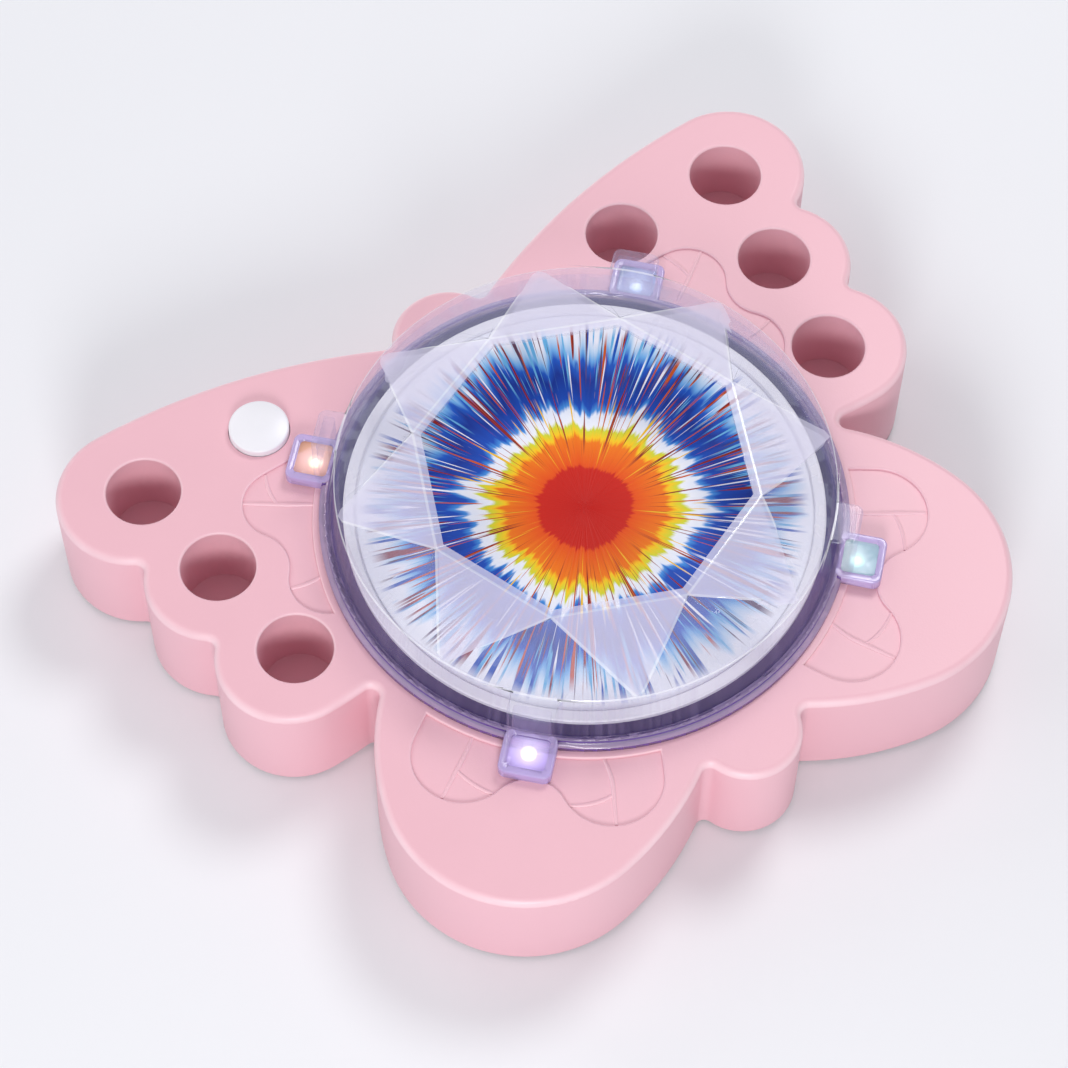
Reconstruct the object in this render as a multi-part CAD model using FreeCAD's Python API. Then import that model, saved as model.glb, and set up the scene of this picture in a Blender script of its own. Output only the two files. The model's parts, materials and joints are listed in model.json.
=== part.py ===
import FreeCAD, Part
import math
import os

# Spin art machine: a butterfly-shaped housing with bottle wells, a motor-driven turntable in a
# translucent bowl, and a lift-off cover cut like a gem. Millimetres, +Z up, +Y towards the head.
# The origin is on the turntable axis, in the plane that the rubber feet stand on.

V = FreeCAD.Vector
UP = V(0, 0, 1)

# Housing sizes
foot_drop = 1.5
housing_top = 46.0
wall = 2.4
top_skin = 2.6
edge_round = 3.0
notch_round = 3.2
shell_gap = 0.3

# The bowl's flange is the size that the rest is set around. Places in the wings are given by a
# direction from the turntable axis, in degrees, and a distance beyond the flange's edge
flange_radius = 95.0

# Housing outline lobes of the right-hand side: direction, centre beyond the flange, radius
lobe_angles = {"tail": -90.0, "hind": -45.0, "low": 4.61, "middle": 22.36, "tip": 36.18, "head": 90.0}
lobe_beyond = {"tail": 7.0, "hind": 9.09, "low": 23.18, "middle": 38.54, "tip": 66.79, "head": -4.8}
lobe_radii = {"tail": 19.2, "hind": 50.4, "low": 26.6, "middle": 25.6, "tip": 28.5, "head": 20.9}

# Shallow edges that lead into a lobe: direction of the touching point, radius
swell_angles = {"hind_rear": -100.0, "hind_front": 15.0, "low_rear": -90.0, "lead": 90.0}
swell_radii = {"hind_rear": 114.0, "hind_front": 90.0, "low_rear": 142.0, "lead": 247.0}

# Sunk wing cells beside the bowl: two lobes each, the dip between them, and their depth
cell_angles = {"fore": (17.0, 35.35), "hind": (-61.34, -32.81)}
cell_beyond = {"fore": (-0.58, 13.38), "hind": (10.08, 10.18)}
cell_radii = {"fore": 14.3, "hind": 18.1}
cell_root = 30.0
root_angles = {"fore": 39.59, "hind": -46.17}
root_beyond = {"fore": -27.52, "hind": -25.69}
cell_dip = 14.0
cell_sweep = 150.0
cell_depth = 1.2
cell_margin = 2.5

# Bottle wells: three along each wing tip and one where the other wing has its button
well_radius = 13.5
well_depth = 30.0
well_wall = 1.6
well_lip = 1.0
well_angles = {"tip": 36.47, "middle": 23.65, "low": 5.01, "inner": 49.63}
well_beyond = {"tip": 63.66, "middle": 37.1, "low": 20.54, "inner": 27.73}

# Bowl
flange_height = 3.0
flange_width = 4.3
bowl_draft = 2.2
bowl_skin = 1.8
bowl_floor_top = 36.5
bowl_fit = 0.3
lip_gap = 0.4
lip_width = 1.0
lip_height = 1.2
collar_inner = 7.6
collar_skin = 1.4
collar_height = 6.0
shaft_clearance = 1.0
tab_reach = 13.3
tab_width = 19.0
tab_height = 4.4
tab_round = 3.0
tab_frame = 2.6
tab_sink = 1.0
tab_roof = 1.2
bowl_post_radius = 4.0
bowl_post_length = 9.0

# Cover
cover_skin = 1.8
skirt_setback = 3.2
skirt_taper = 3.0
crown_width = 26.5
girdle_rise = 22.8
crown_rise = 8.6
window_frame = 3.0
facets = 8
lug_overhang = 6.2
lug_width = 17.0
lug_round = 3.0
lug_gap = 0.3
cover_lift = 120.0

# Turntable and paper
platter_gap = 4.4
platter_thickness = 2.0
platter_rise = 1.5
rim_width = 4.3
rim_height = 1.5
hub_radius = 4.2
hub_drop = 8.0
apron_radius = 12.0
apron_skin = 1.4
apron_drop = 7.0
rib_count = 8
rib_inset = 12.3
rib_height = 1.5
rib_thickness = 1.4
paper_thickness = 0.3
paper_gap = 0.5

# Motor
shaft_radius = 1.0
shaft_fit = 0.05
press_gap = 0.02
can_radius = 10.0
can_flat = 7.7
can_length = 23.0
can_round = 1.2
end_cap_length = 3.0
motor_bottom = 5.0
boss_radius = 3.05
boss_length = 1.6
shaft_grip = 9.0
cradle_skin = 1.8
cradle_fit = 0.2
cradle_length = 15.0
clamp_thickness = 1.6
clamp_post = 15.5
clamp_post_radius = 3.4

# Button and its switch
button_radius = 11.0
button_fit = 0.3
button_proud = 4.0
button_dome = 1.2
button_collar = 2.0
button_collar_thickness = 1.7
button_stem = 3.0
button_travel = 2.0
button_stem_bottom = 36.0
switch_size = 8.4
switch_height = 6.0
switch_board_thickness = 1.6
switch_board_length = 44.0
switch_board_width = 13.0
plunger_size = 3.6
plunger_fit = 0.08
plunger_length = 6.0
plunger_floor = 1.6
switch_post_pitch = 36.0
switch_post_radius = 3.0

# Lamps
led_beyond = 3.8
led_radius = 2.5
led_rim = 2.9
led_body = 5.2
led_fit = 0.2
led_leg = 0.5
led_leg_pitch = 2.54
led_leg_length = 4.0
led_collar_skin = 1.4
led_collar_drop = 3.0

# Base plate
base_thickness = 2.4
pad_height = 2.2
pad_radius = 6.2
foot_radius = 6.0
foot_sink = 1.5
foot_fit = 0.2
foot_angles = {"fore": 30.03, "hind": -48.81}
foot_beyond = {"fore": 52.85, "hind": 32.56}

# Self-tapping screws: shank, head and the bores that take them
screw_radius = 1.45
screw_head_radius = 2.8
screw_head_height = 2.0
screw_length = 9.0
screw_slot = 0.9
pilot_radius = 1.5
through_radius = 1.8
counterbore_radius = 3.3
post_radius = 4.2
small_screw_radius = 1.0
small_head_radius = 1.9
small_head_height = 1.3
small_length = 6.0
small_pilot = 1.05
small_through = 1.3
post_angles = {"fore": 26.1, "side": -30.8, "rear": -63.87, "head": 90.0}
post_beyond = {"fore": 14.13, "side": 26.08, "rear": 23.07, "head": 4.0}
bowl_post_x = 50.8
bowl_post_y = 35.6

# Batteries, their bay and its door
cell_radius = 7.25
cell_length = 49.5
nub_radius = 2.7
nub_length = 1.0
cell_pitch = 15.3
cell_count = 3
bay_centre_y = -65.6
spring_room = 6.9
bay_width = 47.4
bay_height = 16.6
bay_skin = 1.8
door_thickness = 2.2
door_ledge = 4.0
door_fit = 0.3
door_tongue = 3.0
door_screw_reach = 7.0
contact_thickness = 0.4
contact_width = 11.0
tag_width = 2.4
tag_reach = 3.5
tag_fit = 0.15

# Circuit board
board_length = 46.0
board_width = 28.0
board_thickness = 1.6
board_centre = (0.0, 56.0)
board_height = 8.0
board_post_radius = 3.0
board_inset = 4.0

# Leads
lead_radius = 1.1
lead_floor = 7.5

# Radii that follow from the flange's
bowl_inner = flange_radius - flange_width
skirt_foot_radius = flange_radius - skirt_setback
girdle_radius = skirt_foot_radius - skirt_taper
table_radius = girdle_radius - crown_width
lug_reach = skirt_foot_radius + lug_overhang
platter_radius = bowl_inner - platter_gap
rib_reach = platter_radius - rib_inset
led_circle = flange_radius + led_beyond

# The bay holds a cell between its sprung contacts
bay_length = cell_length + nub_length + spring_room

# Heights that follow from the sizes above
base_bottom = foot_drop
base_top = base_bottom + base_thickness
pad_top = base_top + pad_height
ceiling = housing_top - top_skin
flange_top = housing_top + flange_height
tab_top = housing_top + tab_height
girdle_top = flange_top + girdle_rise
table_top = girdle_top + crown_rise
platter_top = flange_top + platter_rise
platter_bottom = platter_top - platter_thickness
bowl_floor_bottom = bowl_floor_top - bowl_skin
bowl_post_end = bowl_floor_bottom - bowl_post_length
can_bottom = motor_bottom + end_cap_length
can_top = can_bottom + can_length
clamp_top = can_top + clamp_thickness
switch_top = button_stem_bottom - plunger_length + plunger_floor
switch_bottom = switch_top - switch_height
switch_board_bottom = switch_bottom - switch_board_thickness
led_base = ceiling - led_collar_drop
cell_axis = base_bottom + door_thickness + cell_radius + 0.4


def cylinder(x, y, low, high, radius):
    return Part.makeCylinder(radius, high - low, V(x, y, low), UP)


def tube(x, y, low, high, outer, inner):
    return cylinder(x, y, low, high, outer).cut(cylinder(x, y, low, high, inner))


def block(x0, x1, y0, y1, z0, z1):
    return Part.makeBox(x1 - x0, y1 - y0, z1 - z0, V(x0, y0, z0))


def turn(shape, angle, x=0.0, y=0.0):
    copy = shape.copy()
    copy.rotate(V(x, y, 0), UP, angle)
    return copy


def mirrored(points):
    return [(-x, y) for x, y in points] + list(points)


def joined(shapes):
    return shapes[0].multiFuse(shapes[1:]).removeSplitter()


def round_edges(shape, low=-math.inf, high=math.inf):
    # The circular edges whose centre lies between two heights
    real = [e for e in shape.Edges if not e.Degenerated]
    rings = [e for e in real if isinstance(e.Curve, Part.Circle)]
    return [e for e in rings if low < e.Curve.Center.z < high]


def rounded_block(x0, x1, y0, y1, z0, z1, radius):
    # A block with its four upright edges rounded
    box = block(x0, x1, y0, y1, z0, z1)
    upright = [e for e in box.Edges if abs(e.Vertexes[0].Z - e.Vertexes[-1].Z) > 0.5 * (z1 - z0)]
    return box.makeFillet(radius, upright)


def on_circle(radius, angle):
    a = math.radians(angle)
    return radius * math.cos(a), radius * math.sin(a)


def beyond_flange(angles, distances, name):
    return on_circle(flange_radius + distances[name], angles[name])


def lobe(name):
    x, y = beyond_flange(lobe_angles, lobe_beyond, name)
    return (x, y, lobe_radii[name])


def swell(lobe, name):
    # A larger circle that touches the lobe from around it, in the named direction
    x, y, r = lobe
    radius = swell_radii[name]
    dx, dy = on_circle(radius - r, swell_angles[name])
    return (x - dx, y - dy, radius)


def crossing(first, reach_1, second, reach_2, side):
    # The point at two given distances from two centres, right (1) or left (-1) of the way between
    dx, dy = second[0] - first[0], second[1] - first[1]
    span = math.hypot(dx, dy)
    along = (span**2 + reach_1**2 - reach_2**2) / (2 * span)
    out = math.sqrt(reach_1**2 - along**2) * side
    x = first[0] + (along * dx + out * dy) / span
    y = first[1] + (along * dy - out * dx) / span
    return x, y


def notch(first, second, radius):
    # The hollow arc between two lobes, written with a negative radius
    x, y = crossing(first, first[2] + radius, second, second[2] + radius, 1)
    return (x, y, -radius)


def bridge(first, second, radius):
    # The shallow outer arc that touches both lobes from around them
    x, y = crossing(first, radius - first[2], second, radius - second[2], -1)
    return (x, y, radius)


def mirror_circle(circle):
    return (-circle[0], circle[1], circle[2])


def touching(first, second):
    share = first[2] / (first[2] - second[2])
    return V(first[0] + (second[0] - first[0]) * share, first[1] + (second[1] - first[1]) * share, 0)


def arc_loop(circles, inset=0.0):
    # A closed wire of tangent arcs, run anticlockwise; an inset moves every arc inwards alike
    ring = [(x, y, r - inset) for x, y, r in circles]
    edges = []
    for i, (x, y, r) in enumerate(ring):
        start = touching(ring[i - 1], ring[i])
        end = touching(ring[i], ring[(i + 1) % len(ring)])
        a0 = math.atan2(start.y - y, start.x - x)
        a1 = math.atan2(end.y - y, end.x - x)
        if r > 0 and a1 <= a0:
            a1 += 2 * math.pi
        if r < 0 and a1 >= a0:
            a1 -= 2 * math.pi
        middle = (a0 + a1) / 2
        crest = V(x + abs(r) * math.cos(middle), y + abs(r) * math.sin(middle), 0)
        edges.append(Part.Arc(start, crest, end).toShape())
    return Part.Wire(edges)


def prism(wire, low, high):
    face = Part.Face(wire)
    face.translate(V(0, 0, low))
    return face.extrude(V(0, 0, high - low))


def butterfly():
    # The circles of the whole outline, from the tail round the right side, the head and back
    tail, hind, head = lobe("tail"), lobe("hind"), lobe("head")
    low, middle, tip = lobe("low"), lobe("middle"), lobe("tip")
    rear = swell(hind, "hind_rear")
    front = swell(hind, "hind_front")
    belly = swell(low, "low_rear")
    lead = swell(tip, "lead")
    side = [
        notch(tail, rear, notch_round),
        rear,
        hind,
        front,
        notch(front, belly, notch_round),
        belly,
        low,
        notch(low, middle, notch_round),
        middle,
        notch(middle, tip, notch_round),
        tip,
        lead,
        notch(lead, head, notch_round),
    ]
    return [tail] + side + [head] + [mirror_circle(c) for c in reversed(side)]


def wing_cells(wing):
    # A two-lobed cell that runs in under the bowl's flange
    pairs = zip(cell_angles[wing], cell_beyond[wing])
    first, second = [on_circle(flange_radius + b, a) + (cell_radii[wing],) for a, b in pairs]
    inner = beyond_flange(root_angles, root_beyond, wing) + (cell_root,)
    circles = [
        first,
        notch(first, second, cell_dip),
        second,
        bridge(second, inner, cell_sweep),
        inner,
        bridge(inner, first, cell_sweep),
    ]
    cell = prism(arc_loop(circles), housing_top - cell_depth, housing_top + 1)
    return cell.cut(cylinder(0, 0, 0, housing_top + 2, flange_radius + cell_margin))


def diagonals():
    return [45.0, 135.0, 225.0, 315.0]


def case_post_places():
    pairs = [beyond_flange(post_angles, post_beyond, name) for name in ("fore", "side", "rear")]
    return mirrored(pairs) + [beyond_flange(post_angles, post_beyond, "head")]


def inner_well():
    return beyond_flange(well_angles, well_beyond, "inner")


def well_places():
    pairs = [beyond_flange(well_angles, well_beyond, name) for name in ("tip", "middle", "low")]
    return mirrored(pairs) + [inner_well()]


def button_place():
    # The button stands where the other wing has its fourth well
    x, y = inner_well()
    return -x, y


def foot_places():
    return mirrored([beyond_flange(foot_angles, foot_beyond, name) for name in ("fore", "hind")])


def switch_post_places():
    x, y = button_place()
    return [(x - switch_post_pitch / 2, y), (x + switch_post_pitch / 2, y)]


def bowl_post_places():
    return [(sx * bowl_post_x, sy * bowl_post_y) for sx in (-1, 1) for sy in (-1, 1)]


def upper_shell():
    circles = butterfly()
    outside = prism(arc_loop(circles), base_bottom, housing_top)
    rim = [e for e in outside.Edges if min(v.Z for v in e.Vertexes) > housing_top - 0.01]
    outside = outside.makeFillet(edge_round, rim)
    shell = outside.cut(prism(arc_loop(circles, wall), base_bottom, ceiling))
    solid = [shell]
    solid += [
        cylinder(x, y, housing_top - well_depth - well_wall, ceiling + 1, well_radius + well_wall)
        for x, y in well_places()
    ]
    solid += [cylinder(x, y, pad_top, ceiling + 1, post_radius) for x, y in case_post_places()]
    solid += [
        cylinder(x, y, switch_bottom, ceiling + 1, switch_post_radius)
        for x, y in switch_post_places()
    ]
    for angle in diagonals():
        x, y = on_circle(led_circle, angle)
        solid.append(cylinder(x, y, led_base, ceiling + 1, led_radius + led_fit + led_collar_skin))
    shell = joined(solid)
    hollow = [cylinder(0, 0, 0, housing_top + 1, bowl_inner + bowl_skin + bowl_fit)]
    for x, y in well_places():
        hollow.append(cylinder(x, y, housing_top - well_depth, housing_top + 1, well_radius))
    for x, y in case_post_places():
        hollow.append(cylinder(x, y, 0, pad_top + screw_length, pilot_radius))
    for x, y in switch_post_places():
        hollow.append(cylinder(x, y, 0, switch_bottom + small_length, small_pilot))
    for angle in diagonals():
        x, y = on_circle(led_circle, angle)
        hollow.append(cylinder(x, y, 0, housing_top + 1, led_radius + led_fit))
    x, y = button_place()
    hollow.append(cylinder(x, y, 0, housing_top + 1, button_radius + button_fit))
    shell = shell.cut(hollow[0].multiFuse(hollow[1:]))
    mouths = [
        e for e in round_edges(shell, housing_top - 0.01, housing_top + 0.01)
        if abs(e.Curve.Radius - well_radius) < 0.01
    ]
    shell = shell.makeFillet(well_lip, mouths)
    for side in (1, -1):
        for wing in ("fore", "hind"):
            cell = wing_cells(wing)
            if side < 0:
                cell = cell.mirror(V(0, 0, 0), V(1, 0, 0))
            shell = shell.cut(cell)
    return shell


def bay_box(grow, low, high):
    x = bay_width / 2 + grow
    y = bay_length / 2 + grow
    return block(-x, x, bay_centre_y - y, bay_centre_y + y, low, high)


def door_outline(grow, low, high):
    # The door reaches past the bay at its screw end
    x = bay_width / 2 + door_ledge + grow
    rear = bay_centre_y - bay_length / 2 - door_ledge - grow
    front = bay_centre_y + bay_length / 2 + door_ledge + door_screw_reach + grow
    return rounded_block(-x, x, rear, front, low, high, 3.0)


def door_screw_place():
    return 0.0, bay_centre_y + bay_length / 2 + door_ledge + 1.5


def motor_form(radius, flat, low, high):
    return cylinder(0, 0, low, high, radius).common(block(-radius, radius, -flat, flat, low, high))


def board_post_places():
    x = board_length / 2 - board_inset
    y = board_width / 2 - board_inset
    return [(board_centre[0] - x, board_centre[1] + y), (board_centre[0] + x, board_centre[1] - y)]


def lower_shell():
    circles = butterfly()
    solid = [prism(arc_loop(circles, wall + shell_gap), base_bottom, base_top)]
    rib = prism(arc_loop(circles, wall + 1.2), base_top, pad_top)
    rib = rib.cut(prism(arc_loop(circles, wall + 2.8), base_top, pad_top))
    solid.append(rib)
    solid += [cylinder(x, y, base_top - 1, pad_top, pad_radius) for x, y in case_post_places()]
    solid += [
        cylinder(x, y, base_top - 1, bowl_post_end, counterbore_radius + 1.6)
        for x, y in bowl_post_places()
    ]
    floor = door_outline(2.0, base_bottom, base_bottom + door_thickness + 2.0)
    solid.append(floor)
    bay_top = base_bottom + door_thickness + bay_height
    solid.append(bay_box(bay_skin, base_bottom, bay_top + bay_skin))
    x, y = door_screw_place()
    solid.append(cylinder(x, y, base_bottom, base_bottom + door_thickness + 9.0, post_radius))
    cradle_top = motor_bottom + cradle_length
    cradle = motor_form(
        can_radius + cradle_fit + cradle_skin, can_flat + cradle_fit + cradle_skin, base_top, cradle_top
    )
    solid.append(cradle)
    for side in (-1, 1):
        solid.append(cylinder(side * clamp_post, 0, base_top - 1, can_top, clamp_post_radius))
        arm = sorted([side * can_radius, side * clamp_post])
        solid.append(block(arm[0], arm[1], -1.0, 1.0, base_top, cradle_top))
    for x, y in board_post_places():
        solid.append(cylinder(x, y, base_top - 1, board_height, board_post_radius))
    base = joined(solid)
    hollow = [motor_form(can_radius + cradle_fit, can_flat + cradle_fit, motor_bottom, can_top + 1)]
    # The motor's leads leave the cradle through a channel
    outer_flat = can_flat + cradle_fit + cradle_skin + 1
    hollow.append(block(-9.0, 9.0, -outer_flat, 1.6 - can_flat, base_top, motor_bottom + 4.0))
    for side in (-1, 1):
        hollow.append(
            cylinder(side * clamp_post, 0, can_top - small_length, can_top + 1, small_pilot)
        )
    hollow.append(bay_box(0, 0, bay_top))
    hollow += [terminal_tag(side, tag_fit) for side in (-1, 1)]
    hollow.append(door_outline(door_fit, 0, base_bottom + door_thickness))
    x, y = door_screw_place()
    hollow.append(cylinder(x, y, 0, base_bottom + door_thickness + 7.5, pilot_radius))
    for x, y in case_post_places():
        hollow.append(cylinder(x, y, 0, pad_top + 1, through_radius))
        hollow.append(cylinder(x, y, 0, pad_top - 2.0, counterbore_radius))
    for x, y in bowl_post_places():
        hollow.append(cylinder(x, y, 0, bowl_post_end + 1, through_radius))
        hollow.append(cylinder(x, y, 0, bowl_post_end - 2.0, counterbore_radius))
    for x, y in board_post_places():
        hollow.append(cylinder(x, y, base_top, board_height + 1, small_pilot))
    for x, y in foot_places():
        hollow.append(cylinder(x, y, 0, base_bottom + foot_sink, foot_radius + foot_fit))
    base = base.cut(hollow[0].multiFuse(hollow[1:]))
    return base


def splash_bowl():
    # The section runs from the shaft hole out over the floor, up the wall and round the flange
    wall_foot = bowl_inner - bowl_draft
    hole = shaft_radius + shaft_clearance
    collar_top = bowl_floor_top + collar_height
    points = [
        V(hole, 0, bowl_floor_bottom),
        V(wall_foot + bowl_skin, 0, bowl_floor_bottom),
        V(bowl_inner + bowl_skin, 0, housing_top),
        V(flange_radius, 0, housing_top),
        V(flange_radius, 0, flange_top - 1.0),
        V(flange_radius - 1.0, 0, flange_top),
        V(skirt_foot_radius + lip_gap + lip_width, 0, flange_top),
        V(skirt_foot_radius + lip_gap + lip_width, 0, flange_top + lip_height),
        V(skirt_foot_radius + lip_gap, 0, flange_top + lip_height),
        V(skirt_foot_radius + lip_gap, 0, flange_top),
        V(bowl_inner, 0, flange_top),
        V(wall_foot, 0, bowl_floor_top + 3.0),
        V(wall_foot - 3.0, 0, bowl_floor_top),
        V(collar_inner + collar_skin, 0, bowl_floor_top),
        V(collar_inner + collar_skin, 0, collar_top),
        V(collar_inner, 0, collar_top),
        V(collar_inner, 0, bowl_floor_top),
        V(hole, 0, bowl_floor_top),
    ]
    bowl = Part.Face(Part.makePolygon(points + points[:1])).revolve(V(0, 0, 0), UP, 360)
    half = tab_width / 2
    reach = flange_radius + tab_reach
    inner = bowl_inner + 2.8
    solid = [bowl]
    for angle in diagonals():
        tab = rounded_block(bowl_inner + 0.5, reach, -half, half, housing_top, tab_top, tab_round)
        top_edges = [e for e in tab.Edges if min(v.Z for v in e.Vertexes) > tab_top - 0.01]
        tab = tab.makeFillet(0.8, top_edges)
        tab = tab.cut(cylinder(0, 0, 0, tab_top + 1, skirt_foot_radius + lip_gap))
        sunk = rounded_block(
            inner, reach - tab_frame, tab_frame - half, half - tab_frame,
            tab_top - tab_sink, tab_top + 1, 1.6,
        )
        solid.append(turn(tab.cut(sunk), angle))
    for x, y in bowl_post_places():
        solid.append(cylinder(x, y, bowl_post_end, bowl_floor_bottom + 0.5, bowl_post_radius))
    bowl = joined(solid)
    hollow = []
    for angle in diagonals():
        x, y = on_circle(led_circle, angle)
        low = housing_top - 1
        hollow.append(cylinder(x, y, low, tab_top - tab_sink - tab_roof, led_radius + led_fit + 0.2))
    for x, y in bowl_post_places():
        hollow.append(cylinder(x, y, 0, bowl_floor_bottom - 0.6, pilot_radius))
    return bowl.cut(hollow[0].multiFuse(hollow[1:]))


def gem(foot, girdle, table, low, middle, high):
    # A skirt with a cut crown: flat triangles stand on the table's edges, and between them a
    # curved facet runs from each table corner out to the round girdle
    step = 360.0 / facets
    faces = []
    corners = [V(*on_circle(table, i * step), high) for i in range(facets)]
    points = [V(*on_circle(girdle, (i + 0.5) * step), middle) for i in range(facets)]
    feet_points = [V(*on_circle(foot, (i + 0.5) * step), low) for i in range(facets)]
    foot_arcs = []
    for i in range(facets):
        before = i - 1
        after = (i + 1) % facets
        flat = Part.makePolygon([corners[i], points[i], corners[after], corners[i]])
        faces.append(Part.Face(flat))
        crest = V(*on_circle(girdle, i * step), middle)
        girdle_arc = Part.Arc(points[before], crest, points[i]).toShape()
        facet = Part.makeLoft([Part.Wire([girdle_arc]), Part.Vertex(corners[i])], False, True)
        faces.extend(facet.Faces)
        foot_crest = V(*on_circle(foot, i * step), low)
        foot_arc = Part.Arc(feet_points[before], foot_crest, feet_points[i]).toShape()
        foot_arcs.append(foot_arc)
        faces.append(Part.makeRuledSurface(foot_arc, girdle_arc))
    faces.append(Part.Face(Part.makePolygon(corners + corners[:1])))
    faces.append(Part.Face(Part.Wire(foot_arcs)))
    shell = Part.makeShell(faces)
    shell.sewShape()
    solid = Part.makeSolid(Part.Shell(shell.Faces))
    if solid.Volume < 0:
        solid.reverse()
    return solid


def clear_cover():
    outside = gem(skirt_foot_radius, girdle_radius, table_radius, flange_top, girdle_top, table_top)
    inside = gem(
        skirt_foot_radius - cover_skin,
        girdle_radius - cover_skin,
        table_radius - cover_skin / 2,
        flange_top,
        girdle_top - cover_skin,
        table_top - cover_skin,
    )
    half = lug_width / 2
    lug_bottom = tab_top + lug_gap
    inner_start = girdle_radius - 6.0
    outer_lugs = []
    inner_lugs = []
    for angle in diagonals():
        lug = rounded_block(inner_start, lug_reach, -half, half, lug_bottom, girdle_top, lug_round)
        top_edges = [
            e for e in lug.Edges
            if min(v.Z for v in e.Vertexes) > girdle_top - 0.01
        ]
        outer_lugs.append(turn(lug.makeFillet(1.0, top_edges), angle))
        pocket = rounded_block(
            skirt_foot_radius + 0.2, lug_reach - cover_skin, cover_skin - half,
            half - cover_skin, lug_bottom - 1, girdle_top - cover_skin, lug_round - cover_skin,
        )
        inner_lugs.append(turn(pocket, angle))
    body = outside.multiFuse(outer_lugs)
    body = body.cut(inside)
    body = body.cut(inner_lugs[0].multiFuse(inner_lugs[1:]))
    step = 360.0 / facets
    window = [
        V(*on_circle(table_radius - window_frame, i * step), girdle_top) for i in range(facets)
    ]
    opening = Part.Face(Part.makePolygon(window + window[:1])).extrude(V(0, 0, 2 * crown_rise))
    return body.cut(opening)


def turntable():
    rim_top = platter_top + rim_height
    points = [
        V(0, 0, platter_bottom),
        V(platter_radius - 1.0, 0, platter_bottom),
        V(platter_radius, 0, platter_bottom + 1.0),
        V(platter_radius, 0, rim_top - 0.8),
        V(platter_radius - 0.8, 0, rim_top),
        V(platter_radius - rim_width + 0.5, 0, rim_top),
        V(platter_radius - rim_width, 0, rim_top - 0.5),
        V(platter_radius - rim_width, 0, platter_top),
        V(0, 0, platter_top),
    ]
    plate = Part.Face(Part.makePolygon(points + points[:1])).revolve(V(0, 0, 0), UP, 360)
    solid = [plate]
    solid.append(cylinder(0, 0, platter_bottom - hub_drop, platter_bottom + 0.5, hub_radius))
    solid.append(
        tube(0, 0, platter_bottom - apron_drop, platter_bottom + 0.5, apron_radius,
             apron_radius - apron_skin)
    )
    half = rib_thickness / 2
    for i in range(rib_count):
        rib = block(apron_radius - 0.5, rib_reach, -half, half, platter_bottom - rib_height,
                    platter_bottom + 0.5)
        taper = block(rib_reach - 6, rib_reach + 1, -half - 1, half + 1,
                      platter_bottom - rib_height - 6, platter_bottom - rib_height)
        taper.rotate(V(rib_reach - 8, 0, platter_bottom - rib_height), V(0, 1, 0), -24)
        solid.append(turn(rib.cut(taper), i * 360.0 / rib_count))
    disc = joined(solid)
    bore = cylinder(0, 0, 0, platter_bottom - 0.4, shaft_radius + press_gap)
    return disc.cut(bore)


def art_paper():
    radius = platter_radius - rim_width - paper_gap
    return cylinder(0, 0, platter_top, platter_top + paper_thickness, radius)


def motor_shaft():
    top = platter_bottom - 0.5
    low = platter_bottom - hub_drop - shaft_grip - 8.0
    shaft = cylinder(0, 0, low, top, shaft_radius)
    return shaft.makeChamfer(0.25, round_edges(shaft))


def motor_can():
    can = motor_form(can_radius, can_flat, can_bottom, can_top)
    top_edges = [e for e in can.Edges if min(v.Z for v in e.Vertexes) > can_top - 0.01]
    can = can.makeFillet(can_round, top_edges)
    can = can.fuse(cylinder(0, 0, can_top - 0.5, clamp_top, boss_radius)).removeSplitter()
    return can.cut(cylinder(0, 0, can_bottom, clamp_top + 1, shaft_radius + shaft_fit))


def motor_end_cap():
    cap = motor_form(can_radius - 0.4, can_flat - 0.4, motor_bottom, can_bottom)
    solid = [cap]
    for side in (-1, 1):
        # The two solder tags stand below the cap, flush with its flat side
        x = side * (can_radius - 3.2)
        solid.append(block(x - 0.9, x + 0.9, -can_flat + 0.4, -can_flat + 0.8,
                           motor_bottom - 0.9, motor_bottom + 0.5))
    return joined(solid)


def motor_clamp():
    half = clamp_post + clamp_post_radius
    plate = rounded_block(-half, half, -6.0, 6.0, can_top, clamp_top, 3.0)
    hollow = [cylinder(0, 0, 0, clamp_top + 1, boss_radius + 0.1)]
    for side in (-1, 1):
        hollow.append(cylinder(side * clamp_post, 0, 0, clamp_top + 1, small_through))
    return plate.cut(hollow[0].multiFuse(hollow[1:]))


def power_button():
    x, y = button_place()
    top = housing_top + button_proud
    collar_top = ceiling - button_fit
    collar_low = collar_top - button_collar_thickness
    radius = button_radius
    dome_edge = top - button_dome
    crest = V(radius * 0.62, 0, dome_edge + button_dome * 0.78)
    profile = [
        Part.LineSegment(V(0, 0, button_stem_bottom), V(button_stem, 0, button_stem_bottom)).toShape(),
        Part.LineSegment(V(button_stem, 0, button_stem_bottom), V(button_stem, 0, collar_low)).toShape(),
        Part.LineSegment(V(button_stem, 0, collar_low), V(radius + button_collar, 0, collar_low)).toShape(),
        Part.LineSegment(
            V(radius + button_collar, 0, collar_low), V(radius + button_collar, 0, collar_top)
        ).toShape(),
        Part.LineSegment(V(radius + button_collar, 0, collar_top), V(radius, 0, collar_top)).toShape(),
        Part.LineSegment(V(radius, 0, collar_top), V(radius, 0, dome_edge)).toShape(),
        Part.Arc(V(radius, 0, dome_edge), crest, V(0, 0, top)).toShape(),
        Part.LineSegment(V(0, 0, top), V(0, 0, button_stem_bottom)).toShape(),
    ]
    button = Part.Face(Part.Wire(profile)).revolve(V(0, 0, 0), UP, 360)
    button = button.makeFillet(0.8, round_edges(button, dome_edge - 0.01, dome_edge + 0.01))
    button.translate(V(x, y, 0))
    return button


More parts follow.
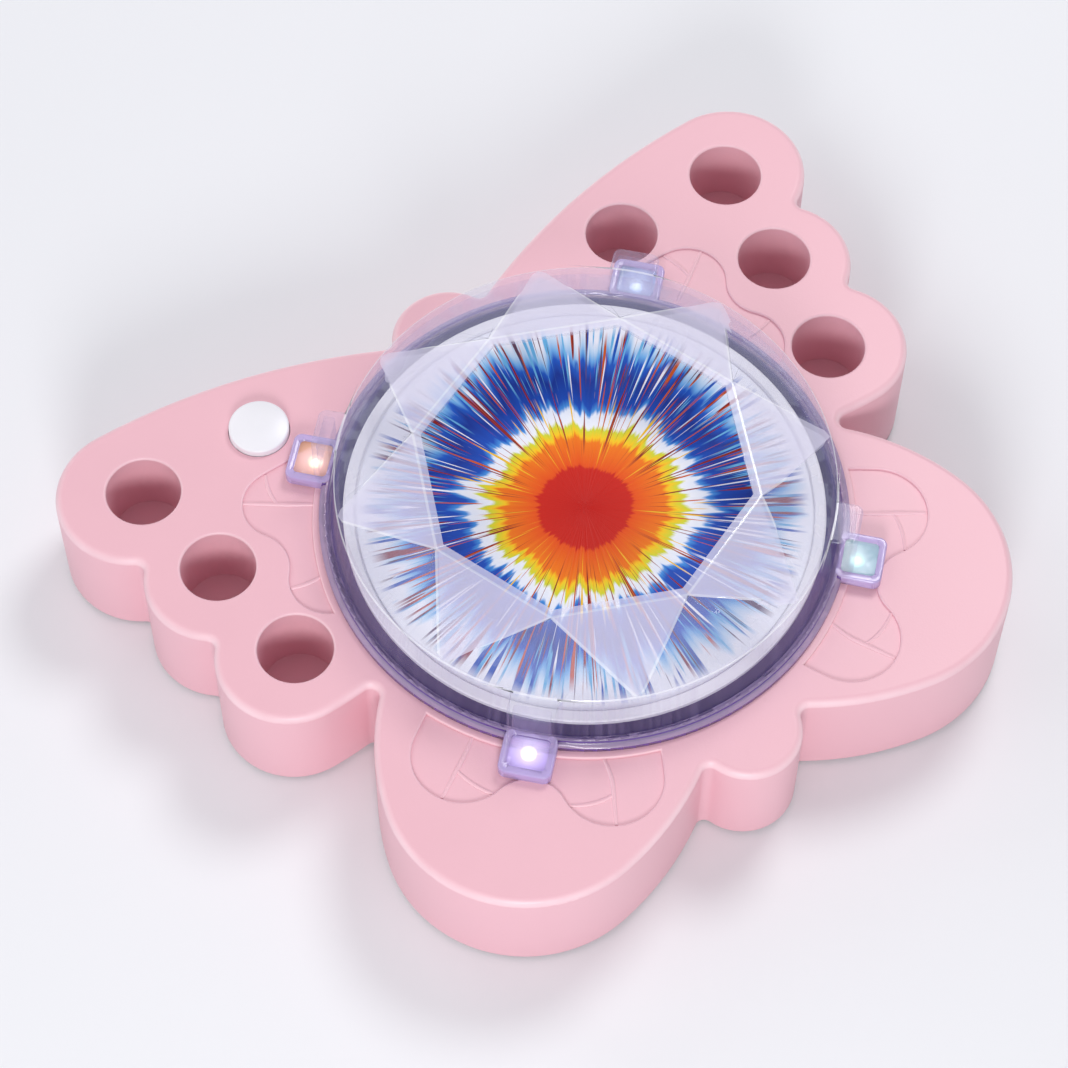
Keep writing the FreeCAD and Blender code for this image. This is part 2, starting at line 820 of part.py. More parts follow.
def switch_plunger():
    x, y = button_place()
    half = plunger_size / 2
    low = button_stem_bottom - plunger_length
    return rounded_block(x - half, x + half, y - half, y + half, low, button_stem_bottom, 0.5)


def push_switch():
    x, y = button_place()
    half = switch_size / 2
    body = rounded_block(x - half, x + half, y - half, y + half, switch_bottom, switch_top, 0.8)
    slot = plunger_size / 2 + plunger_fit
    low = button_stem_bottom - plunger_length - button_travel - 0.3
    return body.cut(block(x - slot, x + slot, y - slot, y + slot, low, switch_top + 1))


def switch_board():
    x, y = button_place()
    a = switch_board_length / 2
    b = switch_board_width / 2
    board = rounded_block(x - a, x + a, y - b, y + b, switch_board_bottom, switch_bottom, 2.0)
    hollow = [cylinder(px, py, 0, switch_bottom + 1, small_through) for px, py in switch_post_places()]
    return board.cut(hollow[0].multiFuse(hollow[1:]))


def led(angle):
    # A round lamp on two legs, pushed up into its collar until its rim stops it
    x, y = on_circle(led_circle, angle)
    body = cylinder(x, y, led_base, led_base + led_body, led_radius)
    dome = Part.makeSphere(led_radius, V(x, y, led_base + led_body))
    rim = cylinder(x, y, led_base - 1.0, led_base, led_rim)
    solid = [body, dome, rim]
    half = led_leg / 2
    for side in (-1, 1):
        px = x + side * led_leg_pitch / 2
        solid.append(
            block(px - half, px + half, y - half, y + half, led_base - 1.0 - led_leg_length,
                  led_base - 0.9)
        )
    return joined(solid)


def battery(index):
    # Neighbouring cells point opposite ways
    x = (index - (cell_count - 1) / 2) * cell_pitch
    way = 1 if index % 2 == 0 else -1
    z = cell_axis
    start = V(x, bay_centre_y - way * (cell_length + nub_length) / 2, z)
    case = Part.makeCylinder(cell_radius, cell_length, start, V(0, way, 0))
    case = case.makeFillet(0.6, round_edges(case))
    nub_start = V(x, start.y + way * (cell_length - 0.2), z)
    nub = Part.makeCylinder(nub_radius, nub_length + 0.2, nub_start, V(0, way, 0))
    return case.fuse(nub).removeSplitter()


def terminal_tag(side, fit):
    # The row's two end contacts have tags that stand out through the bay's side walls
    face = bay_centre_y + side * bay_length / 2
    y0, y1 = sorted([face, face - side * (contact_thickness + fit)])
    inner = (cell_count - 1) / 2 * cell_pitch + contact_width / 2 - 0.5
    x0, x1 = sorted([side * inner, side * (bay_width / 2 + tag_reach)])
    half = tag_width / 2 + fit
    return block(x0, x1, y0, y1, cell_axis - half, cell_axis + half)


def battery_contacts():
    # At the plain end of a cell a bent leaf presses on it; at the nub end the plate is flat
    z = cell_axis
    half = contact_width / 2
    cell_span = (cell_length + nub_length) / 2
    room = bay_length / 2 - cell_span
    shapes = []
    for index in range(cell_count):
        x = (index - (cell_count - 1) / 2) * cell_pitch
        way = 1 if index % 2 == 0 else -1
        for end in (-1, 1):
            face = bay_centre_y + end * bay_length / 2
            inner = face - end * contact_thickness
            y0, y1 = sorted([face, inner])
            plate = block(x - half, x + half, y0, y1, z - half, z + half)
            tip = bay_centre_y + end * (cell_span + 0.05)
            leaf_height = half * (0.9 if end != way else 0.45)
            low = V(x - half * 0.5, face - end * contact_thickness / 2, z - leaf_height)
            high = V(x - half * 0.5, face - end * contact_thickness / 2, z + leaf_height)
            crest = V(x - half * 0.5, tip + end * contact_thickness / 2, z)
            bow = Part.Arc(low, crest, high).toShape()
            back = Part.LineSegment(high, low).toShape()
            bump = Part.Face(Part.Wire([bow, back])).extrude(V(half, 0, 0))
            solid = [plate, bump]
            if (index, end) in ((0, -1), (cell_count - 1, 1)):
                solid.append(terminal_tag(end, 0))
            shapes.append(joined(solid))
    return Part.makeCompound(shapes)


def battery_door():
    x, y = door_screw_place()
    door = door_outline(0, base_bottom, base_bottom + door_thickness)
    rear = bay_centre_y - bay_length / 2 - door_ledge
    hollow = [cylinder(x, y, 0, base_bottom + door_thickness + 1, through_radius)]
    hollow.append(cylinder(x, y, 0, base_bottom + door_thickness - 0.9, counterbore_radius))
    for i in range(5):
        # Finger grooves beside the screw
        gy = rear + 8.0 + i * 3.0
        hollow.append(block(-9, 9, gy, gy + 1.4, 0, base_bottom + 0.6))
    return door.cut(hollow[0].multiFuse(hollow[1:]))


def screw(x, y, head_bottom, length, radius, head_radius, head_height, upwards=True):
    # A round-headed screw with a cross slot; the point is upwards, or downwards when turned over
    head = cylinder(0, 0, 0, head_height, head_radius)
    head = head.makeFillet(head_height * 0.55, round_edges(head, -0.01, 0.01))
    slot = screw_slot / 2
    arm = head_radius * 0.62
    cross = block(-arm, arm, -slot, slot, -1, head_height * 0.55)
    cross = cross.fuse(block(-slot, slot, -arm, arm, -1, head_height * 0.55))
    shank = cylinder(0, 0, head_height - 0.1, head_height + length - radius, radius)
    point = Part.makeCone(radius, 0.2, radius, V(0, 0, head_height + length - radius), UP)
    shape = joined([head, shank, point]).cut(cross)
    if not upwards:
        shape.rotate(V(0, 0, 0), V(1, 0, 0), 180)
    shape.translate(V(x, y, head_bottom))
    return shape


def case_screws():
    low = pad_top - 2.0 - screw_head_height
    return Part.makeCompound([
        screw(x, y, low, screw_length, screw_radius, screw_head_radius, screw_head_height)
        for x, y in case_post_places()
    ])


def bowl_screws():
    low = bowl_post_end - 2.0 - screw_head_height
    return Part.makeCompound([
        screw(x, y, low, screw_length, screw_radius, screw_head_radius, screw_head_height)
        for x, y in bowl_post_places()
    ])


def battery_door_screw():
    x, y = door_screw_place()
    head = 1.2
    low = base_bottom + door_thickness - 0.9 - head
    return screw(x, y, low, 6.5, screw_radius, screw_head_radius, head)


def small_screw(x, y, head_bottom, upwards):
    return screw(x, y, head_bottom, small_length - 0.8, small_screw_radius, small_head_radius,
                 small_head_height, upwards)


def motor_clamp_screws():
    high = clamp_top + small_head_height
    return Part.makeCompound([small_screw(s * clamp_post, 0, high, False) for s in (-1, 1)])


def board_screws():
    high = board_height + board_thickness + small_head_height
    shapes = [small_screw(x, y, high, False) for x, y in board_post_places()]
    low = switch_board_bottom - small_head_height
    shapes += [small_screw(x, y, low, True) for x, y in switch_post_places()]
    return Part.makeCompound(shapes)


def circuit_board():
    x, y = board_centre
    a = board_length / 2
    b = board_width / 2
    top = board_height + board_thickness
    board = rounded_block(x - a, x + a, y - b, y + b, board_height, top, 2.0)
    hollow = [cylinder(px, py, 0, top + 1, small_through) for px, py in board_post_places()]
    return board.cut(hollow[0].multiFuse(hollow[1:]))


def board_parts():
    # The driver chip, a capacitor can and two resistors
    x, y = board_centre
    top = board_height + board_thickness
    chip = rounded_block(x - 8, x + 2, y - 3, y + 3, top, top + 2.0, 0.5)
    can = cylinder(x + 9, y + 5, top, top + 9.0, 3.0)
    can = can.makeFillet(0.5, round_edges(can, top + 1))
    shapes = [chip, can]
    for offset in (-7.0, -10.5):
        shapes.append(rounded_block(x + 4, x + 11, y + offset, y + offset + 2.2, top, top + 2.0, 0.6))
    return Part.makeCompound(shapes)


def rubber_feet():
    shapes = []
    for x, y in foot_places():
        foot = cylinder(x, y, 0, base_bottom + foot_sink, foot_radius)
        shapes.append(foot.makeFillet(0.6, round_edges(foot, -1, 0.01)))
    return Part.makeCompound(shapes)


def lead(points):
    # A round lead along straight runs joined by tangent arcs as large as the runs allow
    points = [V(*p) for p in points]
    edges = []
    start = points[0]
    for before, corner, after in zip(points, points[1:], points[2:]):
        run_in = corner - before
        run_out = after - corner
        way_in = V(run_in).normalize()
        way_out = V(run_out).normalize()
        turn_angle = way_in.getAngle(way_out)
        cut = 0.45 * min(run_in.Length, run_out.Length)
        radius = cut / math.tan(turn_angle / 2)
        a = corner - way_in * cut
        b = corner + way_out * cut
        towards = (way_out - way_in).normalize()
        centre = corner + towards * math.hypot(cut, radius)
        crest = centre - towards * radius
        edges.append(Part.LineSegment(start, a).toShape())
        edges.append(Part.Arc(a, crest, b).toShape())
        start = b
    edges.append(Part.LineSegment(start, points[-1]).toShape())
    path = Part.Wire(edges)
    ring = Part.Circle(points[0], points[1] - points[0], lead_radius).toShape()
    pipe = path.makePipeShell([Part.Wire([ring])], True, False)
    print("lead", round(path.Length, 1), "mm, volume ratio",
          round(pipe.Volume / (path.Length * math.pi * lead_radius**2), 4))
    return pipe


def led_leads():
    top = led_base - 1.0 - led_leg_length
    fx, fy = on_circle(led_circle, 45.0)
    board_edge = board_centre[0] + board_length / 2
    board_mid = board_height + board_thickness / 2
    fore = [
        (fx, fy, top), (fx, fy, 24.0), (fx - 9, fy - 1, lead_floor + 5), (50.0, 66.0, lead_floor),
        (36.0, 60.0, board_mid), (board_edge, 60.0, board_mid),
    ]
    hind = [
        (fx, -fy, top), (fx, -fy, 26.0), (fx + 2, -fy + 9, 13.0), (78.0, -38.0, lead_floor + 1),
        (80.0, -10.0, lead_floor), (73.0, 18.0, lead_floor), (62.0, 42.0, lead_floor + 1),
        (40.0, 52.0, board_mid), (board_edge, 52.0, board_mid),
    ]
    shapes = []
    for side in (-1, 1):
        for route in (fore, hind):
            shapes.append(lead([(side * x, y, z) for x, y, z in route]))
    return Part.makeCompound(shapes)


def power_leads():
    # Six leads to the circuit board: from the cells' tags, the motor's tags and the switch board
    board_front = board_centre[1] - board_width / 2
    board_back = board_centre[1] + board_width / 2
    board_mid = board_height + board_thickness / 2
    tag_x = bay_width / 2 + tag_reach
    tag_y = bay_length / 2 - contact_thickness / 2
    cell_plus = [
        (tag_x, bay_centre_y + tag_y, cell_axis), (33.0, bay_centre_y + tag_y, cell_axis),
        (34.0, -20.0, lead_floor), (32.0, 14.0, lead_floor), (16.0, 30.0, board_mid),
        (16.0, board_front, board_mid),
    ]
    cell_minus = [
        (-tag_x, bay_centre_y - tag_y, cell_axis), (-33.0, bay_centre_y - tag_y, cell_axis),
        (-37.0, -78.0, lead_floor), (-34.0, -24.0, lead_floor), (-32.0, 14.0, lead_floor),
        (-16.0, 30.0, board_mid), (-16.0, board_front, board_mid),
    ]
    tag = can_radius - 3.2
    motor = [
        (tag, 0.4 - can_flat, 5.2), (tag, -14.5, 5.2), (24.0, -12.0, 6.2), (24.0, 10.0, 6.2),
        (10.0, 29.0, board_mid), (10.0, board_front, board_mid),
    ]
    x, y = button_place()
    switch_far = [
        (x + 7.5, y - 4.5, switch_board_bottom), (x + 7.5, y - 4.5, 14.0), (-66.0, 77.0, 8.0),
        (-38.0, 72.0, lead_floor), (-16.5, 77.0, board_mid), (-16.5, board_back, board_mid),
    ]
    switch_near = [
        (x + 13.0, y - 4.5, switch_board_bottom), (x + 13.0, y - 4.5, 13.0), (-56.0, 84.0, 8.0),
        (-38.0, 78.5, lead_floor), (-12.0, 82.0, board_mid), (-12.0, board_back, board_mid),
    ]
    routes = [cell_plus, cell_minus, motor, [(-px, py, pz) for px, py, pz in motor]]
    return Part.makeCompound([lead(route) for route in routes + [switch_far, switch_near]])


nodes = {
    "upper_shell": upper_shell,
    "lower_shell": lower_shell,
    "splash_bowl": splash_bowl,
    "clear_cover": clear_cover,
    "turntable": turntable,
    "art_paper": art_paper,
    "motor_shaft": motor_shaft,
    "motor_can": motor_can,
    "motor_end_cap": motor_end_cap,
    "motor_clamp": motor_clamp,
    "motor_clamp_screws": motor_clamp_screws,
    "power_button": power_button,
    "switch_plunger": switch_plunger,
    "push_switch": push_switch,
    "switch_board": switch_board,
    "led_fore_right": lambda: led(45.0),
    "led_fore_left": lambda: led(135.0),
    "led_hind_left": lambda: led(225.0),
    "led_hind_right": lambda: led(315.0),
    "battery_left": lambda: battery(0),
    "battery_middle": lambda: battery(1),
    "battery_right": lambda: battery(2),
    "battery_contacts": battery_contacts,
    "battery_door": battery_door,
    "battery_door_screw": battery_door_screw,
    "case_screws": case_screws,
    "bowl_screws": bowl_screws,
    "circuit_board": circuit_board,
    "board_parts": board_parts,
    "board_screws": board_screws,
    "led_leads": led_leads,
    "power_leads": power_leads,
    "rubber_feet": rubber_feet,
}

os.makedirs("parts", exist_ok=True)
for name, make in nodes.items():
    shape = make()
    shape.exportStep("parts/" + name + ".step")
    box = shape.BoundBox
    print(name, len(shape.Solids), "solid(s)", "valid" if shape.isValid() else "NOT VALID",
          round(shape.Volume), "mm3", [round(v, 1) for v in
          (box.XMin, box.YMin, box.ZMin, box.XMax, box.YMax, box.ZMax)])
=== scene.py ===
# %% [markdown]
# # A butterfly spin art machine
# This lesson dresses a finished machine: a pink butterfly housing, a purple bowl, a cover cut like a
# gem and a spinning paper. The construction arrives as a fixed frame. Each step below gives one
# visible piece its real surface, and the measured sizes always come from the frame.

# %% Load the frame
import json
import math

import bmesh
import bpy
from mathutils import Matrix, Vector

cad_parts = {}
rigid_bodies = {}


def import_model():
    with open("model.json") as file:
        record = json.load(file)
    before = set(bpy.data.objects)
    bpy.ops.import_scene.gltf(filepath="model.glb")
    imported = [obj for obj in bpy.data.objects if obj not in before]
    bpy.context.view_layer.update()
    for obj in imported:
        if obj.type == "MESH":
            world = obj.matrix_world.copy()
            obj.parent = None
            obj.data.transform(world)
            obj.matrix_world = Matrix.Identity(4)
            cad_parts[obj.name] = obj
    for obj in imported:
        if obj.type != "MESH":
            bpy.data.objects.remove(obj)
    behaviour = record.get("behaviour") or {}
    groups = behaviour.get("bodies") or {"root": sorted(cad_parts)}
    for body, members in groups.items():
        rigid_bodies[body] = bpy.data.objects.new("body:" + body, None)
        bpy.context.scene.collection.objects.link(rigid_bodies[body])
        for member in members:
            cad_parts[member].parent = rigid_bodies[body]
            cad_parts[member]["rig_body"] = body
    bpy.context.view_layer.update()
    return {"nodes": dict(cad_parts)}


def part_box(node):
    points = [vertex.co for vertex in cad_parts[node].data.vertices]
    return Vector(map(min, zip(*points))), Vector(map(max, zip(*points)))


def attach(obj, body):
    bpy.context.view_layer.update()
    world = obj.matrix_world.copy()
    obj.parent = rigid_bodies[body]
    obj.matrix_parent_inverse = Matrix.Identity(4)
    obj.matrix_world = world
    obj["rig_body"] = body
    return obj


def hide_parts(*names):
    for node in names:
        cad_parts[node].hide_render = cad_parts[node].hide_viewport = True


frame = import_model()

nodes = frame["nodes"]

# %% [markdown]
# A few sizes are read off the frame, so that every new piece sits where the construction says. The
# turntable turns about the Z axis, which passes through the origin.

# %% Read the main sizes
cover_low, cover_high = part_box("clear_cover")
housing_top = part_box("upper_shell")[1].z
flange_radius = 0.095
flange_top = cover_low.z
table_top = cover_high.z
paper_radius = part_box("art_paper")[1].x
print("housing top", round(housing_top, 4), "flange top", round(flange_top, 4),
      "cover top", round(table_top, 4), "paper radius", round(paper_radius, 4))


# %% [markdown]
# ## The studio
# The photograph looks down on the machine from beside the left hind wing, with the head turned up
# and away to the left. The camera stands there, rolled a little, and its lens is long enough for
# the machine to fill most of the square picture.

# %% Camera
def aim(thing, target, roll_degrees=0.0):
    """Turn an object's -Z axis to a target, then roll it about that axis."""
    direction = Vector(target) - thing.location
    turn = direction.to_track_quat("-Z", "Y").to_matrix()
    roll = math.radians(roll_degrees)
    spin = Vector((0, 0, 1))
    turn = turn @ Matrix.Rotation(roll, 3, spin)
    thing.rotation_euler = turn.to_euler()


camera_place = (-0.3614, -0.5021, 1.1128)
camera_target = (-0.0147, 0.0103, 0.030)
camera_roll = 0.8
camera_data = bpy.data.cameras.new("photo_camera")
camera_data.lens = 116.0
camera_data.sensor_width = 36.0
camera = bpy.data.objects.new("photo_camera", camera_data)
bpy.context.scene.collection.objects.link(camera)
camera.location = camera_place
aim(camera, camera_target, camera_roll)
bpy.context.scene.camera = camera
print("camera", camera_place, "lens", camera_data.lens)


# %% [markdown]
# The light is plain and soft. A key from the upper right gives the machine its shadow on the table.
# A front lamp stands low on the camera's side: it lights the housing's sides and the far walls of the
# wells, but doesn't reach down to their floors, which stay dark as in the photograph.

# %% Lamps and world
def soft_lamp(name, place, target, size, watts):
    lamp_data = bpy.data.lights.new(name, "AREA")
    lamp_data.shape = "DISK"
    lamp_data.size = size
    lamp_data.energy = watts
    lamp = bpy.data.objects.new(name, lamp_data)
    bpy.context.scene.collection.objects.link(lamp)
    lamp.location = place
    aim(lamp, target)
    return lamp


soft_lamp("key_lamp", (0.75, 0.35, 1.25), (0, 0, 0.03), 0.55, 8.0)
soft_lamp("front_lamp", (-0.75, -1.05, 0.72), (0, 0, 0.03), 0.5, 10.5)
soft_lamp("fill_lamp", (-1.1, 0.5, 1.1), (0, 0, 0.03), 1.2, 3.5)
soft_lamp("back_lamp", (-0.2, 1.3, 0.8), (0, 0, 0.05), 0.9, 3.0)

world = bpy.data.worlds.new("pale_room")
bpy.context.scene.world = world
world.use_nodes = True
world_tree = world.node_tree
world_tree.nodes.clear()
world_out = world_tree.nodes.new("ShaderNodeOutputWorld")
dim_sky = world_tree.nodes.new("ShaderNodeBackground")
dim_sky.inputs["Color"].default_value = (0.95, 0.94, 1.0, 1)
dim_sky.inputs["Strength"].default_value = 0.42
white_sky = world_tree.nodes.new("ShaderNodeBackground")
white_sky.inputs["Color"].default_value = (1, 1, 1, 1)
white_sky.inputs["Strength"].default_value = 1.0
sky_mix = world_tree.nodes.new("ShaderNodeMixShader")
path = world_tree.nodes.new("ShaderNodeLightPath")
seen = path.outputs["Is Camera Ray"]
for kind in ("Is Glossy Ray", "Is Transmission Ray"):
    either = world_tree.nodes.new("ShaderNodeMath")
    either.operation = "MAXIMUM"
    world_tree.links.new(seen, either.inputs[0])
    world_tree.links.new(path.outputs[kind], either.inputs[1])
    seen = either.outputs["Value"]
world_tree.links.new(seen, sky_mix.inputs["Fac"])
world_tree.links.new(dim_sky.outputs["Background"], sky_mix.inputs[1])
world_tree.links.new(white_sky.outputs["Background"], sky_mix.inputs[2])
world_tree.links.new(sky_mix.outputs["Shader"], world_out.inputs["Surface"])
bpy.context.scene.view_settings.view_transform = "Standard"
print("lamps and world set")

# %% [markdown]
# ## Working by hand in code
# An operator acts on whatever is selected. These few helpers select one object, or edges by their
# place, apply a modifier, and put a finished piece on its body.

# %% Helpers for modelling
def select_only(piece):
    """Deselect everything, then select one object and make it active."""
    bpy.ops.object.select_all(action="DESELECT")
    piece.select_set(True)
    bpy.context.view_layer.objects.active = piece


def pick_edges(piece, test):
    """Select the edges that pass a test."""
    bpy.ops.mesh.select_mode(type="EDGE")
    mesh = bmesh.from_edit_mesh(piece.data)
    count = 0
    for edge in mesh.edges:
        chosen = bool(test(edge))
        edge.select_set(chosen)
        count += chosen
    bmesh.update_edit_mesh(piece.data)
    return count


def apply_modifier(piece, kind, **settings):
    """Add a modifier with the given settings and apply it."""
    select_only(piece)
    modifier = piece.modifiers.new(kind.lower(), kind)
    for key, value in settings.items():
        setattr(modifier, key, value)
    bpy.ops.object.modifier_apply(modifier=modifier.name)


def finish_piece(piece, body, smooth_degrees=40.0):
    """Merge doubles, turn the faces outwards, smooth by angle and let the piece ride on its body."""
    if piece.mode != "EDIT":
        select_only(piece)
        bpy.ops.object.mode_set(mode="EDIT")
    bpy.ops.mesh.select_all(action="SELECT")
    bpy.ops.mesh.remove_doubles(threshold=1e-6)
    bpy.ops.mesh.normals_make_consistent(inside=False)
    bpy.ops.object.mode_set(mode="OBJECT")
    select_only(piece)
    bpy.ops.object.shade_smooth_by_angle(angle=math.radians(smooth_degrees))
    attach(piece, body)
    print(piece.name, "has", len(piece.data.polygons), "faces and rides on", body)
    return piece


print("modelling helpers ready")

# %% [markdown]
# ## The floor
# A plain pale sheet lies under the feet, its tone drifting a little with a broad noise, and the
# machine keeps its own shadow on it.

# %% Floor
bpy.ops.object.select_all(action="DESELECT")
bpy.ops.mesh.primitive_plane_add(size=6.0, location=(0, 0, -0.0004))
floor = bpy.context.active_object
floor.name = "pale_floor"
select_only(floor)
bpy.ops.object.transform_apply(location=True, rotation=True, scale=True)
floor_paint = bpy.data.materials.new("floor_paint")
floor_paint.use_nodes = True
floor_shader = floor_paint.node_tree.nodes["Principled BSDF"]
floor_shader.inputs["Roughness"].default_value = 0.75
floor_shader.inputs["Specular IOR Level"].default_value = 0.2
floor_noise = floor_paint.node_tree.nodes.new("ShaderNodeTexNoise")
floor_noise.inputs["Scale"].default_value = 3.0
floor_ramp = floor_paint.node_tree.nodes.new("ShaderNodeValToRGB")
floor_ramp.color_ramp.elements[0].color = (0.80, 0.81, 0.84, 1)
floor_ramp.color_ramp.elements[1].color = (0.85, 0.86, 0.88, 1)
floor_links = floor_paint.node_tree.links
floor_links.new(floor_noise.outputs["Fac"], floor_ramp.inputs["Fac"])
floor_links.new(floor_ramp.outputs["Color"], floor_shader.inputs["Base Color"])
floor.data.materials.append(floor_paint)
print("floor laid")

# %% [markdown]
# ## Shared surface effects
# Several finishes need the same small things: the fine grain of a moulded surface, a painted
# highlight along rounded edges, the drawn lines of metal. Each is a node group, built once and placed in
# every material that needs it with its own values. Colours are written as a screen shows them, 0 to 255.

# %% Small builders for nodes
def paint(red, green, blue):
    """A screen colour as the linear colour that a shader socket takes."""
    def linear(value):
        value /= 255
        return value / 12.92 if value <= 0.04045 else ((value + 0.055) / 1.055) ** 2.4
    return (linear(red), linear(green), linear(blue), 1.0)


def node(tree, kind, inputs=None, **settings):
    """Add a shader node. An input is a plain value, or the socket that feeds it."""
    made = tree.nodes.new("ShaderNode" + kind)
    for key, value in settings.items():
        setattr(made, key, value)
    for key, value in (inputs or {}).items():
        if isinstance(value, bpy.types.NodeSocket):
            tree.links.new(value, made.inputs[key])
        else:
            made.inputs[key].default_value = value
    return made


def math_node(tree, operation, first, second=0.0, clamp=False):
    """One arithmetic step, and its result."""
    return node(tree, "Math", {0: first, 1: second}, operation=operation, use_clamp=clamp).outputs[0]


def ramp(tree, factor, stops, interpolation="LINEAR"):
    """A colour ramp through (position, colour) stops."""
    made = node(tree, "ValToRGB", {"Fac": factor})
    elements = made.color_ramp.elements
    made.color_ramp.interpolation = interpolation
    while len(elements) < len(stops):
        elements.new(0.5)
    for element, (position, colour) in zip(elements, stops):
        element.position = position
        element.color = colour
    return made.outputs["Color"]


def blend_colours(tree, factor, first, second, kind="MIX"):
    """Two colours mixed by a factor."""
    made = node(tree, "Mix", data_type="RGBA", blend_type=kind)
    for socket, value in ((made.inputs[0], factor), (made.inputs[6], first), (made.inputs[7], second)):
        if isinstance(value, bpy.types.NodeSocket):
            tree.links.new(value, socket)
        else:
            socket.default_value = value
    return made.outputs[2]


def effect_group(name, inputs, outputs):
    """An empty node group with named sockets, and its two end nodes."""
    group = bpy.data.node_groups.new(name, "ShaderNodeTree")
    for label, kind, value in inputs:
        socket = group.interface.new_socket(name=label, in_out="INPUT", socket_type=kind)
        socket.default_value = value
    for label, kind in outputs:
        group.interface.new_socket(name=label, in_out="OUTPUT", socket_type=kind)
    return group, group.nodes.new("NodeGroupInput"), group.nodes.new("NodeGroupOutput")


print("node builders ready")

# %% [markdown]
# Moulded plastic carries the faint texture of its steel mould and a slow drift in colour from the
# way it flowed. The grain is a fine noise for the bump, the drift a broad noise for the colour.

# %% Moulded plastic
COLOUR, NUMBER = "NodeSocketColor", "NodeSocketFloat"
moulded, moulded_in, moulded_out = effect_group(
    "moulded_plastic",
    [("Plastic", COLOUR, (0.8, 0.8, 0.8, 1)), ("Drift", NUMBER, 0.06),
     ("Grain Scale", NUMBER, 1600.0), ("Roughness", NUMBER, 0.4)],
    [("Color", COLOUR), ("Roughness", NUMBER), ("Height", NUMBER)])
place = node(moulded, "TexCoord").outputs["Object"]
broad = node(moulded, "TexNoise", {"Vector": place, "Scale": 22.0, "Detail": 3.0}).outputs["Fac"]
grain = node(moulded, "TexNoise", {"Vector": place, "Scale": moulded_in.outputs["Grain Scale"],
                                   "Detail": 2.0}).outputs["Fac"]
swing = math_node(moulded, "SUBTRACT", broad, 0.5)
drift = math_node(moulded, "MULTIPLY", swing, moulded_in.outputs["Drift"])
level = math_node(moulded, "ADD", drift, 1.0)
shaded = node(moulded, "HueSaturation", {"Color": moulded_in.outputs["Plastic"], "Value": level})
moulded.links.new(shaded.outputs["Color"], moulded_out.inputs["Color"])
dulling = math_node(moulded, "MULTIPLY", swing, 0.12)
grip = math_node(moulded, "ADD", dulling, moulded_in.outputs["Roughness"])
moulded.links.new(grip, moulded_out.inputs["Roughness"])
moulded.links.new(grain, moulded_out.inputs["Height"])
print("group", moulded.name)

# %% [markdown]
# Rounded edges get a painted highlight: a paler colour, broken up by a patchy noise. On this housing
# every edge turns from upright to level, so the edge is where the surface's normal leans part of the
# way up.

# %% Painted highlight along rounded edges
# painted highlight: the mask marks rounded edges by how far the normal leans
painted_edge_highlight, highlight_in, highlight_out = effect_group(
    "painted_edge_highlight", [("Amount", NUMBER, 0.5)], [("Mask", NUMBER)])
facing = node(painted_edge_highlight, "SeparateXYZ", {0: node(painted_edge_highlight, "TexCoord").outputs["Normal"]}).outputs[2]
upright = math_node(painted_edge_highlight, "ABSOLUTE", facing)
left_over = math_node(painted_edge_highlight, "SUBTRACT", 1.0, upright)
arch = math_node(painted_edge_highlight, "MULTIPLY", upright, left_over)
strength = math_node(painted_edge_highlight, "MULTIPLY", arch, 4.0, clamp=True)
patchy = node(painted_edge_highlight, "TexNoise", {"Scale": 60.0, "Detail": 2.0,
                                     "Vector": node(painted_edge_highlight, "TexCoord").outputs["Object"]})
broken = math_node(painted_edge_highlight, "MULTIPLY", strength, math_node(painted_edge_highlight, "ADD", patchy.outputs["Fac"], 0.4))
painted_edge_highlight.links.new(math_node(painted_edge_highlight, "MULTIPLY", broken, highlight_in.outputs["Amount"]), highlight_out.inputs["Mask"])
print("group", painted_edge_highlight.name)

# %% [markdown]
# Drawn and plated metal shows fine lines along its length. The noise is stretched along Z, the
# motor's and the screws' axis, by squeezing its coordinates there.

# %% Drawn metal
drawn, drawn_in, drawn_out = effect_group(
    "drawn_metal",
    [("Metal", COLOUR, (0.6, 0.6, 0.6, 1)), ("Roughness", NUMBER, 0.3), ("Stretch", NUMBER, 0.04)],
    [("Color", COLOUR), ("Roughness", NUMBER), ("Height", NUMBER)])
squeeze = node(drawn, "CombineXYZ", {0: 1.0, 1: 1.0, 2: drawn_in.outputs["Stretch"]}).outputs[0]
long_place = node(drawn, "VectorMath", {0: node(drawn, "TexCoord").outputs["Object"], 1: squeeze},
                  operation="MULTIPLY").outputs[0]
lines = node(drawn, "TexNoise", {"Vector": long_place, "Scale": 2400.0, "Detail": 3.0}).outputs["Fac"]
tone = node(drawn, "HueSaturation", {
    "Color": drawn_in.outputs["Metal"],
    "Value": math_node(drawn, "ADD", math_node(drawn, "MULTIPLY", lines, 0.24), 0.88)})
drawn.links.new(tone.outputs["Color"], drawn_out.inputs["Color"])
wavering = math_node(drawn, "MULTIPLY", math_node(drawn, "SUBTRACT", lines, 0.5), 0.25)
drawn.links.new(math_node(drawn, "ADD", wavering, drawn_in.outputs["Roughness"]),
                drawn_out.inputs["Roughness"])
drawn.links.new(lines, drawn_out.inputs["Height"])
print("group", drawn.name)

# %% [markdown]
# ## The plastics
# Every moulded part shares one recipe: the moulded group gives colour, roughness and grain, and a
# bump turns the grain into a soft satin. Only the numbers differ from part to part.

# %% Plastic materials
def empty_material(name):
    """A new material, its node tree and its Principled shader."""
    material = bpy.data.materials.new(name)
    material.use_nodes = True
    return material, material.node_tree, material.node_tree.nodes["Principled BSDF"]


def use_group(tree, group, inputs):
    """Place a shared effect in a material with its own values."""
    made = tree.nodes.new("ShaderNodeGroup")
    made.node_tree = group
    for key, value in inputs.items():
        if isinstance(value, bpy.types.NodeSocket):
            tree.links.new(value, made.inputs[key])
        else:
            made.inputs[key].default_value = value
    return made


